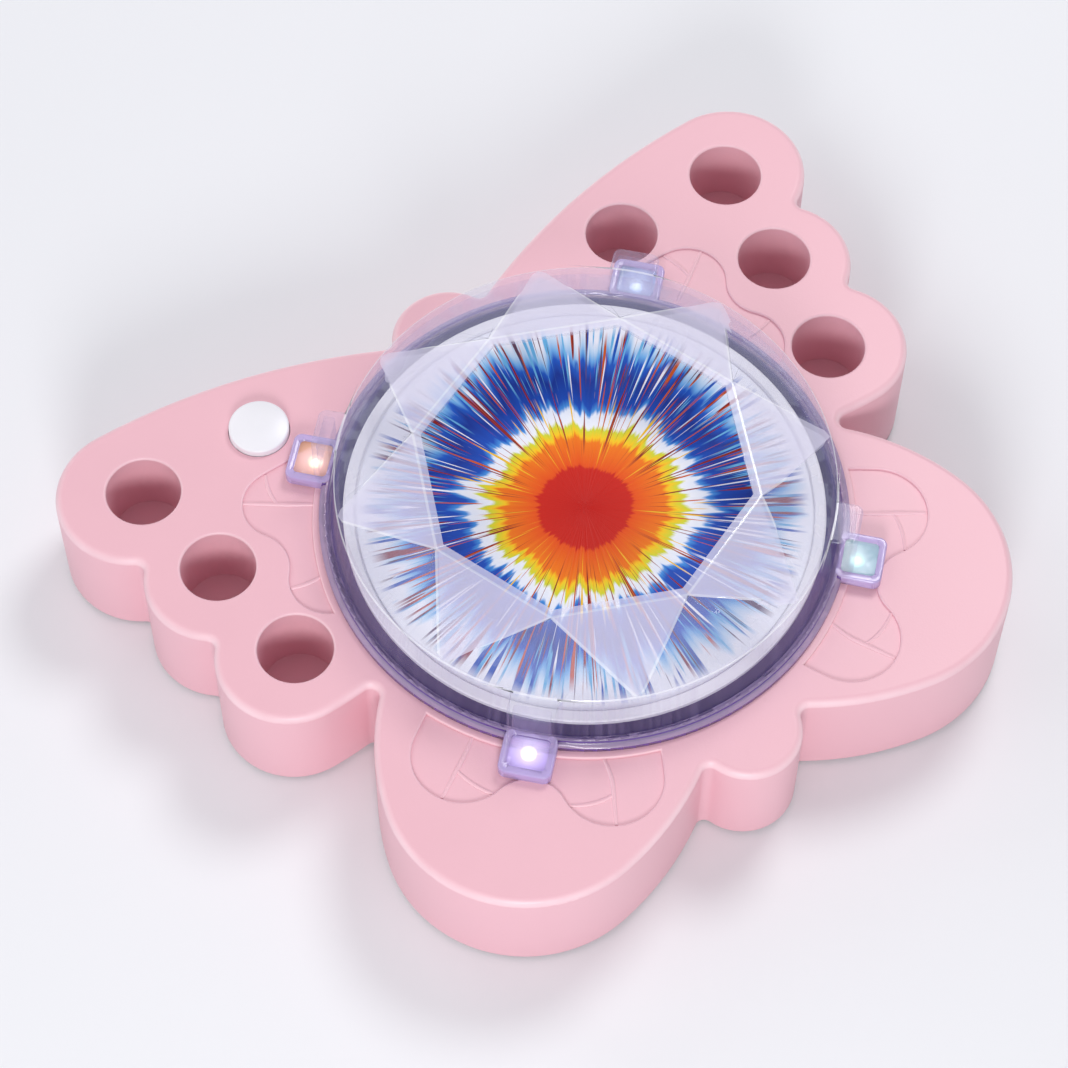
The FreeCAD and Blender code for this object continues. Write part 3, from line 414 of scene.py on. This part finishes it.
def bump(tree, shader, height, strength, distance):
    """Turn a height into the shader's normal."""
    made = node(tree, "Bump", {"Height": height, "Strength": strength, "Distance": distance})
    tree.links.new(made.outputs["Normal"], shader.inputs["Normal"])


def plastic(name, colour, roughness, drift=0.06, grain=1600.0, edge_highlight=0.0, pale=None, coat=0.0):
    """A satin moulded plastic, with a paler painted highlight along its rounded edges when that amount is
    given.
    """
    material, tree, shader = empty_material(name)
    skin = use_group(tree, moulded, {"Plastic": colour, "Drift": drift, "Grain Scale": grain,
                                     "Roughness": roughness})
    colour_out = skin.outputs["Color"]
    # painted highlight: the paler colour is mixed in along rounded edges
    if edge_highlight:
        edges = use_group(tree, painted_edge_highlight, {"Amount": edge_highlight})
        colour_out = blend_colours(tree, edges.outputs["Mask"], colour_out, pale)
    tree.links.new(colour_out, shader.inputs["Base Color"])
    tree.links.new(skin.outputs["Roughness"], shader.inputs["Roughness"])
    shader.inputs["Specular IOR Level"].default_value = 0.42
    if coat:
        shader.inputs["Coat Weight"].default_value = coat
        shader.inputs["Coat Roughness"].default_value = 0.12
    bump(tree, shader, skin.outputs["Height"], 0.18, 0.0002)
    return material


# the shell, base and button carry a painted highlight, the paler colour, along their rounded edges
shell_pink = plastic("shell_pink", paint(231, 181, 192), 0.40, edge_highlight=0.7, pale=paint(250, 219, 226))
base_pink = plastic("base_pink", paint(225, 170, 182), 0.50, edge_highlight=0.3, pale=paint(240, 200, 209))
turntable_white = plastic("turntable_white", paint(228, 227, 233), 0.34, drift=0.03)
button_white = plastic("button_white", paint(234, 233, 238), 0.32, drift=0.03, edge_highlight=0.4,
                       pale=paint(250, 250, 255))
switch_black = plastic("switch_black", paint(38, 38, 42), 0.42, drift=0.1)
cap_white = plastic("cap_white", paint(224, 222, 212), 0.4, drift=0.05)
foot_rubber = plastic("foot_rubber", paint(92, 88, 98), 0.85, drift=0.12, grain=900.0)
print("plastics: shell_pink, base_pink, turntable_white, button_white and three small ones")

# %% [markdown]
# ## The metals
# The motor can and its clamp are drawn steel, the screws and contacts are nickel plated.

# %% Metal materials
def metal(name, colour, roughness, stretch=0.04):
    """Drawn or plated metal."""
    material, tree, shader = empty_material(name)
    skin = use_group(tree, drawn, {"Metal": colour, "Roughness": roughness, "Stretch": stretch})
    tree.links.new(skin.outputs["Color"], shader.inputs["Base Color"])
    tree.links.new(skin.outputs["Roughness"], shader.inputs["Roughness"])
    shader.inputs["Metallic"].default_value = 1.0
    bump(tree, shader, skin.outputs["Height"], 0.12, 0.0001)
    return material


can_steel = metal("can_steel", paint(196, 198, 202), 0.3)
shaft_steel = metal("shaft_steel", paint(214, 215, 218), 0.18)
screw_steel = metal("screw_steel", paint(188, 186, 180), 0.34, stretch=0.3)
contact_nickel = metal("contact_nickel", paint(206, 200, 186), 0.26, stretch=1.0)
print("metals: can_steel, shaft_steel, screw_steel, contact_nickel")

# %% [markdown]
# ## The clear and tinted plastics
# The cover is one clear moulding whose flat triangles are frosted and whose other facets are
# polished. Both let the paint show through, so their alpha stays low face on and rises where the
# surface turns away, as a real sheet does. Alpha also lets the lamps light the paper inside.

# %% Cover and bowl materials
def see_through(name, colour, roughness, alpha, edge_alpha, coat=0.0, drift=0.04, streaks=0.0, glow=0.0):
    """A thin clear or tinted plastic, more solid where it is seen edge on, or finely streaked."""
    material, tree, shader = empty_material(name)
    skin = use_group(tree, moulded, {"Plastic": colour, "Drift": drift, "Grain Scale": 700.0,
                                     "Roughness": roughness})
    tree.links.new(skin.outputs["Color"], shader.inputs["Base Color"])
    tree.links.new(skin.outputs["Roughness"], shader.inputs["Roughness"])
    turned = node(tree, "LayerWeight", {"Blend": 0.4}).outputs["Facing"]
    steep = math_node(tree, "POWER", turned, 2.0)
    extra = math_node(tree, "MULTIPLY", steep, edge_alpha)
    solid = math_node(tree, "ADD", extra, alpha)
    if streaks:
        spread = node(tree, "VectorMath", {0: node(tree, "TexCoord").outputs["Object"],
                                           1: (1.0, 1.0, 0.0)}, operation="MULTIPLY").outputs[0]
        around = node(tree, "VectorMath", {0: spread}, operation="NORMALIZE").outputs[0]
        fine = node(tree, "TexNoise", {"Vector": around, "Scale": 46.0, "Detail": 3.0}).outputs["Fac"]
        lines = node(tree, "MapRange", {"Value": fine, "From Min": 0.46, "From Max": 0.66}, clamp=True)
        share = math_node(tree, "MULTIPLY", lines.outputs["Result"], streaks)
        solid = math_node(tree, "ADD", solid, share)
    tree.links.new(math_node(tree, "MINIMUM", solid, 1.0), shader.inputs["Alpha"])
    shader.inputs["Specular IOR Level"].default_value = 0.6
    # glow paints a faint glow in the plastic's own colour: painted light, used only by the bowl's wall
    shader.inputs["Emission Color"].default_value = colour
    shader.inputs["Emission Strength"].default_value = glow
    if coat:
        shader.inputs["Coat Weight"].default_value = coat
        shader.inputs["Coat Roughness"].default_value = 0.05
    return material


cover_clear = see_through("cover_clear", paint(206, 208, 236), 0.05, 0.13, 0.30, coat=0.6)
cover_skirt = see_through("cover_skirt", paint(198, 184, 232), 0.08, 0.02, 0.34, coat=0.1, streaks=0.05)
cover_frosted = see_through("cover_frosted", paint(222, 219, 240), 0.28, 0.46, 0.3)
# painted highlight: a brighter, more solid white for the cover's bevelled edges
cover_edge_highlight = see_through("cover_edge_highlight", paint(246, 247, 255), 0.12, 0.48, 0.2, coat=0.6)
# painted shade: the wall's deep purple stands for the shade down in the bowl, with a faint painted glow
bowl_wall_painted_shade = see_through("bowl_wall_painted_shade", paint(58, 22, 132), 0.34, 0.95, 0.05, glow=0.06)
bowl_flange_lavender = see_through("bowl_flange_lavender", paint(214, 190, 234), 0.2, 0.44, 0.3,
                                   coat=0.5)
# painted shade: a darker purple for the flange's upright lip faces
bowl_rim_painted_shade = see_through("bowl_rim_painted_shade", paint(104, 72, 158), 0.2, 0.80, 0.2, coat=0.5)
tab_frame_lavender = see_through("tab_frame_lavender", paint(196, 178, 230), 0.22, 0.70, 0.2,
                                 coat=0.5)
print("clear and tinted: cover_clear, cover_skirt, cover_frosted, cover_edge_highlight, bowl_wall_painted_shade,",
      "bowl_flange_lavender, bowl_rim_painted_shade, tab_frame_lavender")

# %% [markdown]
# ## The spun painting
# Paint dripped on a spinning card is thrown outwards, so everything is drawn along the radius. A
# point's direction from the middle is a unit vector. Noise read at that vector has no seam, and
# reading it with little change along the radius gives rays. Rings come from the radius itself, bent
# by slow noise so that no ring is a true circle.

# %% Painted paper material
art_paint, art, art_shader = empty_material("art_paint")
flat_place = node(art, "VectorMath", {0: node(art, "TexCoord").outputs["Object"], 1: (1.0, 1.0, 0.0)},
                  operation="MULTIPLY").outputs[0]
length = node(art, "VectorMath", {0: flat_place}, operation="LENGTH").outputs["Value"]
radius = math_node(art, "DIVIDE", length, paper_radius)
direction = node(art, "VectorMath", {0: flat_place}, operation="NORMALIZE").outputs[0]


def ray_noise(fineness, change, shift, detail=2.0):
    """Noise in rays: fineness sets how many, change how fast they vary along the radius."""
    along = math_node(art, "ADD", math_node(art, "MULTIPLY", radius, change), shift)
    spread = node(art, "VectorMath", {0: direction, 3: fineness}, operation="SCALE").outputs[0]
    lift = node(art, "CombineXYZ", {2: along}).outputs[0]
    place = node(art, "VectorMath", {0: spread, 1: lift}, operation="ADD").outputs[0]
    return node(art, "TexNoise", {"Vector": place, "Scale": 1.0, "Detail": detail}).outputs["Fac"]


def above(value, low, high):
    """A soft step: 0 below low, 1 above high."""
    made = node(art, "MapRange", {"Value": value, "From Min": low, "From Max": high}, clamp=True)
    return made.outputs["Result"]


slow_noise = math_node(art, "SUBTRACT", ray_noise(1.3, 1.0, 3.0), 0.5)
slow_reach = math_node(art, "MULTIPLY", above(radius, 0.12, 0.50), 0.30)
slow_bend = math_node(art, "MULTIPLY", slow_noise, slow_reach)
jagged = math_node(art, "MULTIPLY", math_node(art, "SUBTRACT", ray_noise(14.0, 0.7, 9.0), 0.5), 0.30)
throw = math_node(art, "MULTIPLY", jagged, above(radius, 0.08, 0.60))
bent = math_node(art, "ADD", math_node(art, "ADD", radius, slow_bend), throw)
rings = ramp(art, bent, [
    (0.00, paint(186, 12, 2)), (0.205, paint(196, 22, 2)), (0.22, paint(226, 78, 4)),
    (0.36, paint(236, 118, 8)), (0.385, paint(246, 198, 22)), (0.43, paint(206, 212, 50)),
    (0.45, paint(238, 240, 246)), (0.505, paint(230, 236, 248)), (0.525, paint(66, 142, 216)),
    (0.56, paint(16, 74, 178)), (0.69, paint(10, 48, 142)), (0.76, paint(26, 86, 188)),
    (0.80, paint(110, 172, 226)), (0.85, paint(190, 216, 238)), (0.91, paint(238, 239, 246))])
print("rings of paint laid")

# %% [markdown]
# Past the rings the paint thins out into separate threads on white card. Each set of threads is a
# fine ray noise with only its peaks kept, and it starts and ends at its own distance.

# %% Threads of paint and the finished paper
def threads(under, fineness, shift, colour, low, high, start, end):
    """Rays of one colour over what is already there, between two distances from the middle."""
    peaks = above(ray_noise(fineness, 1.6, shift, 1.0), low, high)
    begun = above(radius, start, start + 0.10)
    ended = math_node(art, "SUBTRACT", 1.0, above(radius, end - 0.08, end))
    mask = math_node(art, "MULTIPLY", math_node(art, "MULTIPLY", peaks, begun), ended)
    return blend_colours(art, mask, under, colour)


painted = rings
painted = threads(painted, 30.0, 21.0, paint(30, 84, 178), 0.60, 0.63, 0.66, 0.99)
painted = threads(painted, 44.0, 33.0, paint(104, 176, 220), 0.60, 0.63, 0.60, 0.97)
painted = threads(painted, 38.0, 47.0, paint(136, 32, 24), 0.635, 0.655, 0.26, 0.97)
painted = threads(painted, 52.0, 58.0, paint(196, 84, 26), 0.65, 0.67, 0.22, 0.92)
painted = threads(painted, 60.0, 71.0, paint(92, 62, 84), 0.645, 0.665, 0.60, 0.98)
painted = threads(painted, 34.0, 83.0, paint(240, 190, 36), 0.65, 0.67, 0.20, 0.60)
painted = threads(painted, 48.0, 95.0, paint(238, 238, 246), 0.64, 0.665, 0.50, 0.86)
art.links.new(painted, art_shader.inputs["Base Color"])
wetness = above(bent, 0.70, 0.80)
gloss = math_node(art, "ADD", math_node(art, "MULTIPLY", wetness, 0.25), 0.42)
art.links.new(gloss, art_shader.inputs["Roughness"])
fibres = node(art, "TexNoise", {"Vector": flat_place, "Scale": 2200.0, "Detail": 3.0}).outputs["Fac"]
strings = ray_noise(30.0, 1.5, 12.0)
relief = math_node(art, "ADD", math_node(art, "MULTIPLY", strings, 0.8),
                   math_node(art, "MULTIPLY", fibres, 0.2))
art_shader.inputs["Specular IOR Level"].default_value = 0.18
bump(art, art_shader, relief, 0.25, 0.0004)
print("threads of paint laid")

# %% [markdown]
# ## The lamps
# Each lamp is a clear lens over a lit chip. The glow is brightest on the lens's own axis, so each
# material measures the distance from that axis, in plan, with the lamp's place as its own value.

# %% Lamp material
lamp_glow, lamp_in, lamp_out = effect_group(
    "lamp_glow",
    [("Axis", "NodeSocketVector", (0.0, 0.0, 0.0)), ("Tint", COLOUR, (1, 1, 1, 1)),
     ("Radius", NUMBER, 0.0025)],
    [("Glow", COLOUR)])
across = node(lamp_glow, "VectorMath", {0: node(lamp_glow, "TexCoord").outputs["Object"],
                                        1: lamp_in.outputs["Axis"]}, operation="SUBTRACT").outputs[0]
level_place = node(lamp_glow, "VectorMath", {0: across, 1: (1.0, 1.0, 0.0)},
                   operation="MULTIPLY").outputs[0]
away = node(lamp_glow, "VectorMath", {0: level_place}, operation="LENGTH").outputs["Value"]
share = math_node(lamp_glow, "DIVIDE", away, lamp_in.outputs["Radius"], clamp=True)
core = ramp(lamp_glow, share, [(0.0, (1, 1, 1, 1)), (0.45, (0.75, 0.75, 0.75, 1)),
                               (1.0, (0.12, 0.12, 0.12, 1))])
hot = blend_colours(lamp_glow, share, (1, 1, 1, 1), lamp_in.outputs["Tint"])
lamp_glow.links.new(blend_colours(lamp_glow, 1.0, core, hot, "MULTIPLY"), lamp_out.inputs["Glow"])


def lit_lens(name, tint, axis, strength):
    """A lens lit from inside."""
    material, tree, shader = empty_material(name)
    glow = use_group(tree, lamp_glow, {"Axis": axis, "Tint": tint, "Radius": 0.0027})
    shader.inputs["Base Color"].default_value = tint
    tree.links.new(glow.outputs["Glow"], shader.inputs["Emission Color"])
    shader.inputs["Emission Strength"].default_value = strength
    shader.inputs["Roughness"].default_value = 0.08
    shader.inputs["Coat Weight"].default_value = 0.6
    shader.inputs["Coat Roughness"].default_value = 0.03
    return material


def glowing_window(name, tint, axis, strength):
    """The thin tab over a lamp, lit from below round the lamp's axis."""
    material, tree, shader = empty_material(name)
    glow = use_group(tree, lamp_glow, {"Axis": axis, "Tint": tint, "Radius": 0.0085})
    shader.inputs["Base Color"].default_value = tint
    tree.links.new(glow.outputs["Glow"], shader.inputs["Emission Color"])
    shader.inputs["Emission Strength"].default_value = strength
    shader.inputs["Roughness"].default_value = 0.25
    shader.inputs["Alpha"].default_value = 0.45
    shader.inputs["Coat Weight"].default_value = 0.5
    return material


lamp_tints = {
    "led_hind_left": (paint(206, 186, 255), 4.0), "led_fore_left": (paint(255, 190, 150), 3.0),
    "led_fore_right": (paint(170, 200, 246), 2.0), "led_hind_right": (paint(150, 214, 214), 1.6)}
lamp_materials = {}
window_materials = {}
for lamp_name, (tint, strength) in lamp_tints.items():
    lamp_low, lamp_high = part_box(lamp_name)
    middle = (lamp_low + lamp_high) / 2
    axis = (middle.x, middle.y, 0.0)
    lamp_materials[lamp_name] = lit_lens(lamp_name + "_lit", tint, axis, strength)
    window_materials[lamp_name] = glowing_window(lamp_name + "_window", tint, axis, strength * 0.35)
print("lamps:", ", ".join(lamp_materials))

# %% [markdown]
# ## Inside the housing
# The hidden parts get their own finishes as well, since the machine is also seen opened up: a green
# board with tinned tracks, batteries in a printed sleeve, leads in a soft sheath.

# %% Board, battery and lead materials
board_green, board_tree, board_shader = empty_material("board_green")
board_place = node(board_tree, "TexCoord").outputs["Object"]
tracks = node(board_tree, "TexBrick", {
    "Vector": board_place, "Scale": 210.0, "Mortar Size": 0.035, "Mortar Smooth": 0.2,
    "Color1": paint(26, 96, 62), "Color2": paint(22, 88, 56), "Mortar": paint(58, 138, 88)})
weave = node(board_tree, "TexNoise", {"Vector": board_place, "Scale": 900.0}).outputs["Fac"]
board_colour = node(board_tree, "HueSaturation", {
    "Color": tracks.outputs["Color"],
    "Value": math_node(board_tree, "ADD", math_node(board_tree, "MULTIPLY", weave, 0.2), 0.9)})
board_tree.links.new(board_colour.outputs["Color"], board_shader.inputs["Base Color"])
board_shader.inputs["Roughness"].default_value = 0.28
bump(board_tree, board_shader, tracks.outputs["Fac"], 0.3, 0.0001)

battery_sleeve, sleeve_tree, sleeve_shader = empty_material("battery_sleeve")
sleeve_place = node(sleeve_tree, "TexCoord").outputs["Object"]
along_cell = node(sleeve_tree, "SeparateXYZ", {0: sleeve_place}).outputs[1]
cell_low, cell_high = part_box("battery_left")
cell_share = node(sleeve_tree, "MapRange", {"Value": along_cell, "From Min": cell_low.y,
                                            "From Max": cell_high.y}).outputs["Result"]
bands = ramp(sleeve_tree, cell_share, [
    (0.0, paint(168, 168, 172)), (0.035, paint(44, 46, 58)), (0.30, paint(44, 46, 58)),
    (0.31, paint(204, 122, 66)), (0.955, paint(204, 122, 66)), (0.965, paint(176, 176, 180))],
    "CONSTANT")
sleeve_tree.links.new(bands, sleeve_shader.inputs["Base Color"])
sleeve_shader.inputs["Metallic"].default_value = 0.35
scuffs = node(sleeve_tree, "TexNoise", {"Vector": sleeve_place, "Scale": 160.0, "Detail": 4.0})
sleeve_tree.links.new(math_node(sleeve_tree, "ADD", math_node(
    sleeve_tree, "MULTIPLY", scuffs.outputs["Fac"], 0.25), 0.2), sleeve_shader.inputs["Roughness"])

lead_sheath = plastic("lead_sheath", paint(176, 44, 46), 0.55, drift=0.1, grain=900.0)
lead_black = plastic("lead_black", paint(52, 50, 58), 0.55, drift=0.1, grain=900.0)
board_black = plastic("board_black", paint(44, 44, 48), 0.5, drift=0.12, grain=1200.0)
print("inner finishes: board_green, battery_sleeve, lead_sheath, lead_black, board_black")

# %% [markdown]
# ## Dressing the construction
# Where the construction's own shape is right, it stays and only gets its finish. The parts with
# rounded edges are copied instead: a copy can be welded and shaded smooth, and then stands for the
# node that it replaces.

# %% Finishes straight onto nodes
def finish_node(name, material):
    """Give every slot of a construction node one material."""
    for index in range(len(nodes[name].material_slots)):
        nodes[name].material_slots[index].material = material


plain_finishes = {
    "motor_end_cap": cap_white, "motor_clamp": can_steel, "push_switch": switch_black,
    "switch_plunger": cap_white, "switch_board": board_green, "circuit_board": board_green,
    "battery_contacts": contact_nickel, "art_paper": art_paint}
for node_name, finish in plain_finishes.items():
    finish_node(node_name, finish)
print(len(plain_finishes), "nodes finished as they are")


# %% [markdown]
# A construction mesh is loose triangles. The copy is welded first, then flat runs of triangles are
# joined into single faces, so that bevels and smooth shading have clean edges to work on. Weighted
# normals let the large flats keep their own direction, so a rounded edge doesn't darken them.

# %% Welded copies
def welded_copy(name, new_name, material, smooth_degrees=35.0, tidy_degrees=0.0, shaping=None):
    """A welded, smooth-shaded copy of a node, standing for it on the same body."""
    source = nodes[name]
    piece = bpy.data.objects.new(new_name, source.data.copy())
    bpy.context.scene.collection.objects.link(piece)
    select_only(piece)
    bpy.ops.object.mode_set(mode="EDIT")
    bpy.ops.mesh.select_all(action="SELECT")
    bpy.ops.mesh.remove_doubles(threshold=2e-6)
    if tidy_degrees:
        bpy.ops.mesh.dissolve_limited(angle_limit=math.radians(tidy_degrees))
    if shaping:
        shaping(piece)
    bpy.ops.object.mode_set(mode="OBJECT")
    bpy.ops.object.shade_smooth_by_angle(angle=math.radians(smooth_degrees))
    apply_modifier(piece, "WEIGHTED_NORMAL", keep_sharp=True, weight=50)
    piece.data.materials.clear()
    piece.data.materials.append(material)
    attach(piece, source["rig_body"])
    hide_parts(name)
    return piece


copies = {
    "lower_shell": ("base_plate", base_pink), "turntable": ("spinning_platter", turntable_white),
    "power_button": ("button_cap", button_white), "motor_can": ("motor_case", can_steel),
    "motor_shaft": ("motor_spindle", shaft_steel), "rubber_feet": ("rubber_pads", foot_rubber),
    "case_screws": ("housing_screws", screw_steel), "bowl_screws": ("bowl_fixings", screw_steel),
    "battery_door_screw": ("door_fixing", screw_steel), "battery_door": ("door_panel", base_pink),
    "motor_clamp_screws": ("clamp_fixings", screw_steel), "led_leads": ("lamp_leads", lead_sheath),
    "power_leads": ("main_leads", lead_black),
    "board_screws": ("board_fixings", screw_steel), "board_parts": ("board_components", board_black),
    "battery_left": ("cell_left", battery_sleeve), "battery_middle": ("cell_middle", battery_sleeve),
    "battery_right": ("cell_right", battery_sleeve)}
dressed = {}
for node_name, (new_name, finish) in copies.items():
    dressed[node_name] = welded_copy(node_name, new_name, finish, tidy_degrees=0.2)
print(len(dressed), "welded copies, from", min(len(p.data.polygons) for p in dressed.values()),
      "to", max(len(p.data.polygons) for p in dressed.values()), "faces")

# %% [markdown]
# ## The housing
# The pink upper shell is one moulding: outline, bottle wells, button hole and sunk wing cells are
# all in the construction. Its copy is shaped a little further. A real mould can't give a cell a
# knife-sharp rim, and the rounded rim is what draws each cell as a fine light and dark line. The rim
# is found by place: it lies level with the top, and an upright wall goes down from it.

# %% Housing
button_low, button_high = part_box("power_button")
button_middle = (button_low + button_high) / 2
button_reach = button_high.x - button_middle.x + 0.003


def cell_rim(edge):
    """An edge round one of the sunk cells, and not round the bowl or the button."""
    if min(vertex.co.z for vertex in edge.verts) < housing_top - 1e-5 or len(edge.link_faces) != 2:
        return False
    middle = (edge.verts[0].co + edge.verts[1].co) / 2
    upright, level = sorted(abs(face.normal.z) for face in edge.link_faces)
    outside_bowl = math.hypot(middle.x, middle.y) > flange_radius + 0.002
    off_button = math.hypot(middle.x - button_middle.x, middle.y - button_middle.y) > button_reach
    return level > 0.99 and upright < 0.02 and outside_bowl and off_button


def round_cells(piece):
    """Round the rims of the cells."""
    count = pick_edges(piece, cell_rim)
    bpy.ops.mesh.bevel(offset=0.0007, segments=3, profile=0.5, affect="EDGES")
    print("rounded", count, "edges of the cells' rims")


housing = welded_copy("upper_shell", "butterfly_housing", shell_pink, smooth_degrees=32.0,
                      tidy_degrees=0.2, shaping=round_cells)
print("housing", len(housing.data.polygons), "faces")

# %% [markdown]
# Each lobe of a cell carries a raised vein that runs from the lobe's tip in to the cell's inner rim,
# and most of them fork on the way. A vein is a curve laid just under the cell's floor, thinner at its
# ends. It is swept with a round section and made a mesh, and its back stands above the floor.

# %% Wing veins
vein_height = housing_top - 0.0014
vein_radius = 0.0009


def vein_line(points):
    """A moulded line through plan points, given in millimetres."""
    line = bpy.data.curves.new("vein_line", "CURVE")
    line.dimensions = "3D"
    line.bevel_depth = vein_radius
    line.bevel_resolution = 2
    line.use_fill_caps = True
    spline = line.splines.new("NURBS")
    spline.points.add(len(points) - 1)
    for point, (x, y) in zip(spline.points, points):
        point.co = (x / 1000, y / 1000, vein_height, 1.0)
    spline.points[0].radius = 0.7
    spline.points[-1].radius = 0.7
    spline.order_u = 3
    spline.use_endpoint_u = True
    spline.resolution_u = 10
    return bpy.data.objects.new("vein_line", line)


hind_veins = [
    [(48.5, -84.6), (49.5, -91), (54, -99), (58.9, -107.7)],
    [(53.2, -97.5), (61, -98), (68.4, -92.6)],
    [(82, -52.8), (87, -56.5), (94.5, -61), (103.2, -66.5)],
    [(93.2, -60.2), (92.5, -67.5), (87.6, -74.8)]]
fore_veins = [
    [(92.8, 30), (97, 29.6), (103.8, 31.7)],
    [(79.2, 56.9), (84, 59.8), (91, 64.5), (100, 70.9)],
    [(89.8, 63.6), (90.5, 70), (87.2, 76.7)]]
vein_pieces = []
for side in (-1, 1):
    for points in hind_veins + fore_veins:
        line = vein_line([(side * x, y) for x, y in points])
        bpy.context.scene.collection.objects.link(line)
        vein_pieces.append(line)
bpy.ops.object.select_all(action="DESELECT")
for line in vein_pieces:
    line.select_set(True)
bpy.context.view_layer.objects.active = vein_pieces[0]
bpy.ops.object.convert(target="MESH")
bpy.ops.object.join()
wing_veins = bpy.context.active_object
wing_veins.name = "wing_veins"
wing_veins.data.materials.clear()
wing_veins.data.materials.append(shell_pink)
finish_piece(wing_veins, "housing", 60.0)

# %% [markdown]
# ## The bowl
# The bowl is a tinted moulding. Its thin flange looks lavender over the pink housing. Its wall is
# given a painted shade, a deep purple for the dark down in the bowl, with a faint painted glow, and the
# flange's upright lip faces a darker purple, also painted shade. The faces take one material or the
# other by how far out they are and how they face. The sunk middle of each tab glows with the lamp under it.

# %% Splash bowl
# every face not picked out below keeps the dark purple, painted shade for the inside of the bowl
bowl = welded_copy("splash_bowl", "tinted_bowl", bowl_wall_painted_shade, smooth_degrees=30.0)
bowl.data.materials.append(bowl_flange_lavender)
bowl.data.materials.append(tab_frame_lavender)
bowl.data.materials.append(bowl_rim_painted_shade)
lamp_order = list(window_materials)
for lamp_name in lamp_order:
    bowl.data.materials.append(window_materials[lamp_name])
flange_start = 0.0909
lip_rise = 0.0013
tab_start = 0.0925
tab_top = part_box("splash_bowl")[1].z
tab_sink = 0.001
tab_skin = 0.0012
window_heights = (tab_top - tab_sink, tab_top - tab_sink - tab_skin)
flange_faces = 0
window_faces = 0
for face in bowl.data.polygons:
    x, y, z = face.center
    out = math.hypot(x, y)
    if z > housing_top - 0.0001 and out > flange_start:
        tab_face = out > flange_radius + 0.0002 or z > flange_top + lip_rise
        upright = abs(face.normal.z) < 0.7
        # upright lip faces take the darker purple, painted shade; level flange faces the lavender
        face.material_index = 2 if tab_face else 3 if upright else 1
        flange_faces += 1
    level_with_window = any(abs(z - height) < 0.0001 for height in window_heights)
    if level_with_window and out > tab_start and abs(face.normal.z) > 0.9:
        nearest = min(lamp_order, key=lambda name: (Vector(face.center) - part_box(name)[0]).length)
        face.material_index = 4 + lamp_order.index(nearest)
        window_faces += 1
print("bowl:", flange_faces, "flange and tab faces,", window_faces, "window faces, of",
      len(bowl.data.polygons))

# %% [markdown]
# ## The cover
# The crown has two kinds of facet. A flat triangle stands on each edge of the eight-sided window and
# points outwards: these are frosted. Between them a polished facet runs from each corner of the
# window to the round girdle. Direction tells them apart: a flat triangle faces 22.5 degrees off
# the axes.

# %% Gem-cut cover
cover = welded_copy("clear_cover", "gem_cover", cover_clear, smooth_degrees=4.0, tidy_degrees=0.4)
cover.data.materials.append(cover_frosted)
cover.data.materials.append(cover_edge_highlight)
cover.data.materials.append(cover_skirt)
girdle_height = 0.0718
sector_degrees = 45
triangle_degrees = 22.5
facet_edges = set()
frosted_faces = 0
for face in cover.data.polygons:
    facing_degrees = math.degrees(math.atan2(face.normal.y, face.normal.x)) % sector_degrees
    sloping = 0.05 < abs(face.normal.z) < 0.995
    flat_triangle = sloping and abs(facing_degrees - triangle_degrees) < 2.0 and face.area > 1e-4
    if flat_triangle:
        face.material_index = 1
        frosted_faces += 1
        facet_edges.update(face.edge_keys)
    elif face.center.z > table_top - 0.0001:
        face.material_index = 1
    elif face.center.z < girdle_height - 0.0005:
        face.material_index = 3
print("cover:", frosted_faces, "of", len(cover.data.polygons), "faces are frosted")

# %% [markdown]
# A moulding's edges are never knife sharp, and the little bevel is what catches the light. Two kinds
# of edge are chosen, both on the outer skin: the flat triangles' own edges, which have an end at a
# corner of the table, and the round girdle. The bevel's faces take a brighter edge material, a painted
# highlight.

# %% Bevelled edges
select_only(cover)
bpy.ops.object.mode_set(mode="EDIT")
bpy.ops.mesh.select_all(action="DESELECT")
table_corner = 0.0623
girdle_radius = 0.0888


def crown_edge(edge):
    """An edge of a flat triangle of the outer crown."""
    top_end = max((vertex.co for vertex in edge.verts), key=lambda end: end.z)
    key = tuple(sorted(vertex.index for vertex in edge.verts))
    return (key in facet_edges and top_end.z > table_top - 0.0001
            and abs(math.hypot(top_end.x, top_end.y) - table_corner) < 0.0004)


def girdle_edge(edge):
    """An edge of the outer girdle."""
    return all(abs(vertex.co.z - girdle_height) < 0.0002
               and abs(math.hypot(vertex.co.x, vertex.co.y) - girdle_radius) < 0.0001
               for vertex in edge.verts)


edge_count = pick_edges(cover, lambda edge: crown_edge(edge) or girdle_edge(edge))
# material 2 is the brighter edge material, a painted highlight on the bevel's faces
bpy.ops.mesh.bevel(offset=0.00045, segments=2, profile=0.5, affect="EDGES", material=2)
bpy.ops.object.mode_set(mode="OBJECT")
print("bevelled", edge_count, "edges; cover now has", len(cover.data.polygons), "faces")

# %% Lamps
for lamp_name, material in lamp_materials.items():
    welded_copy(lamp_name, lamp_name.replace("led_", "lamp_"), material, smooth_degrees=50.0)
print("four lamps lit")
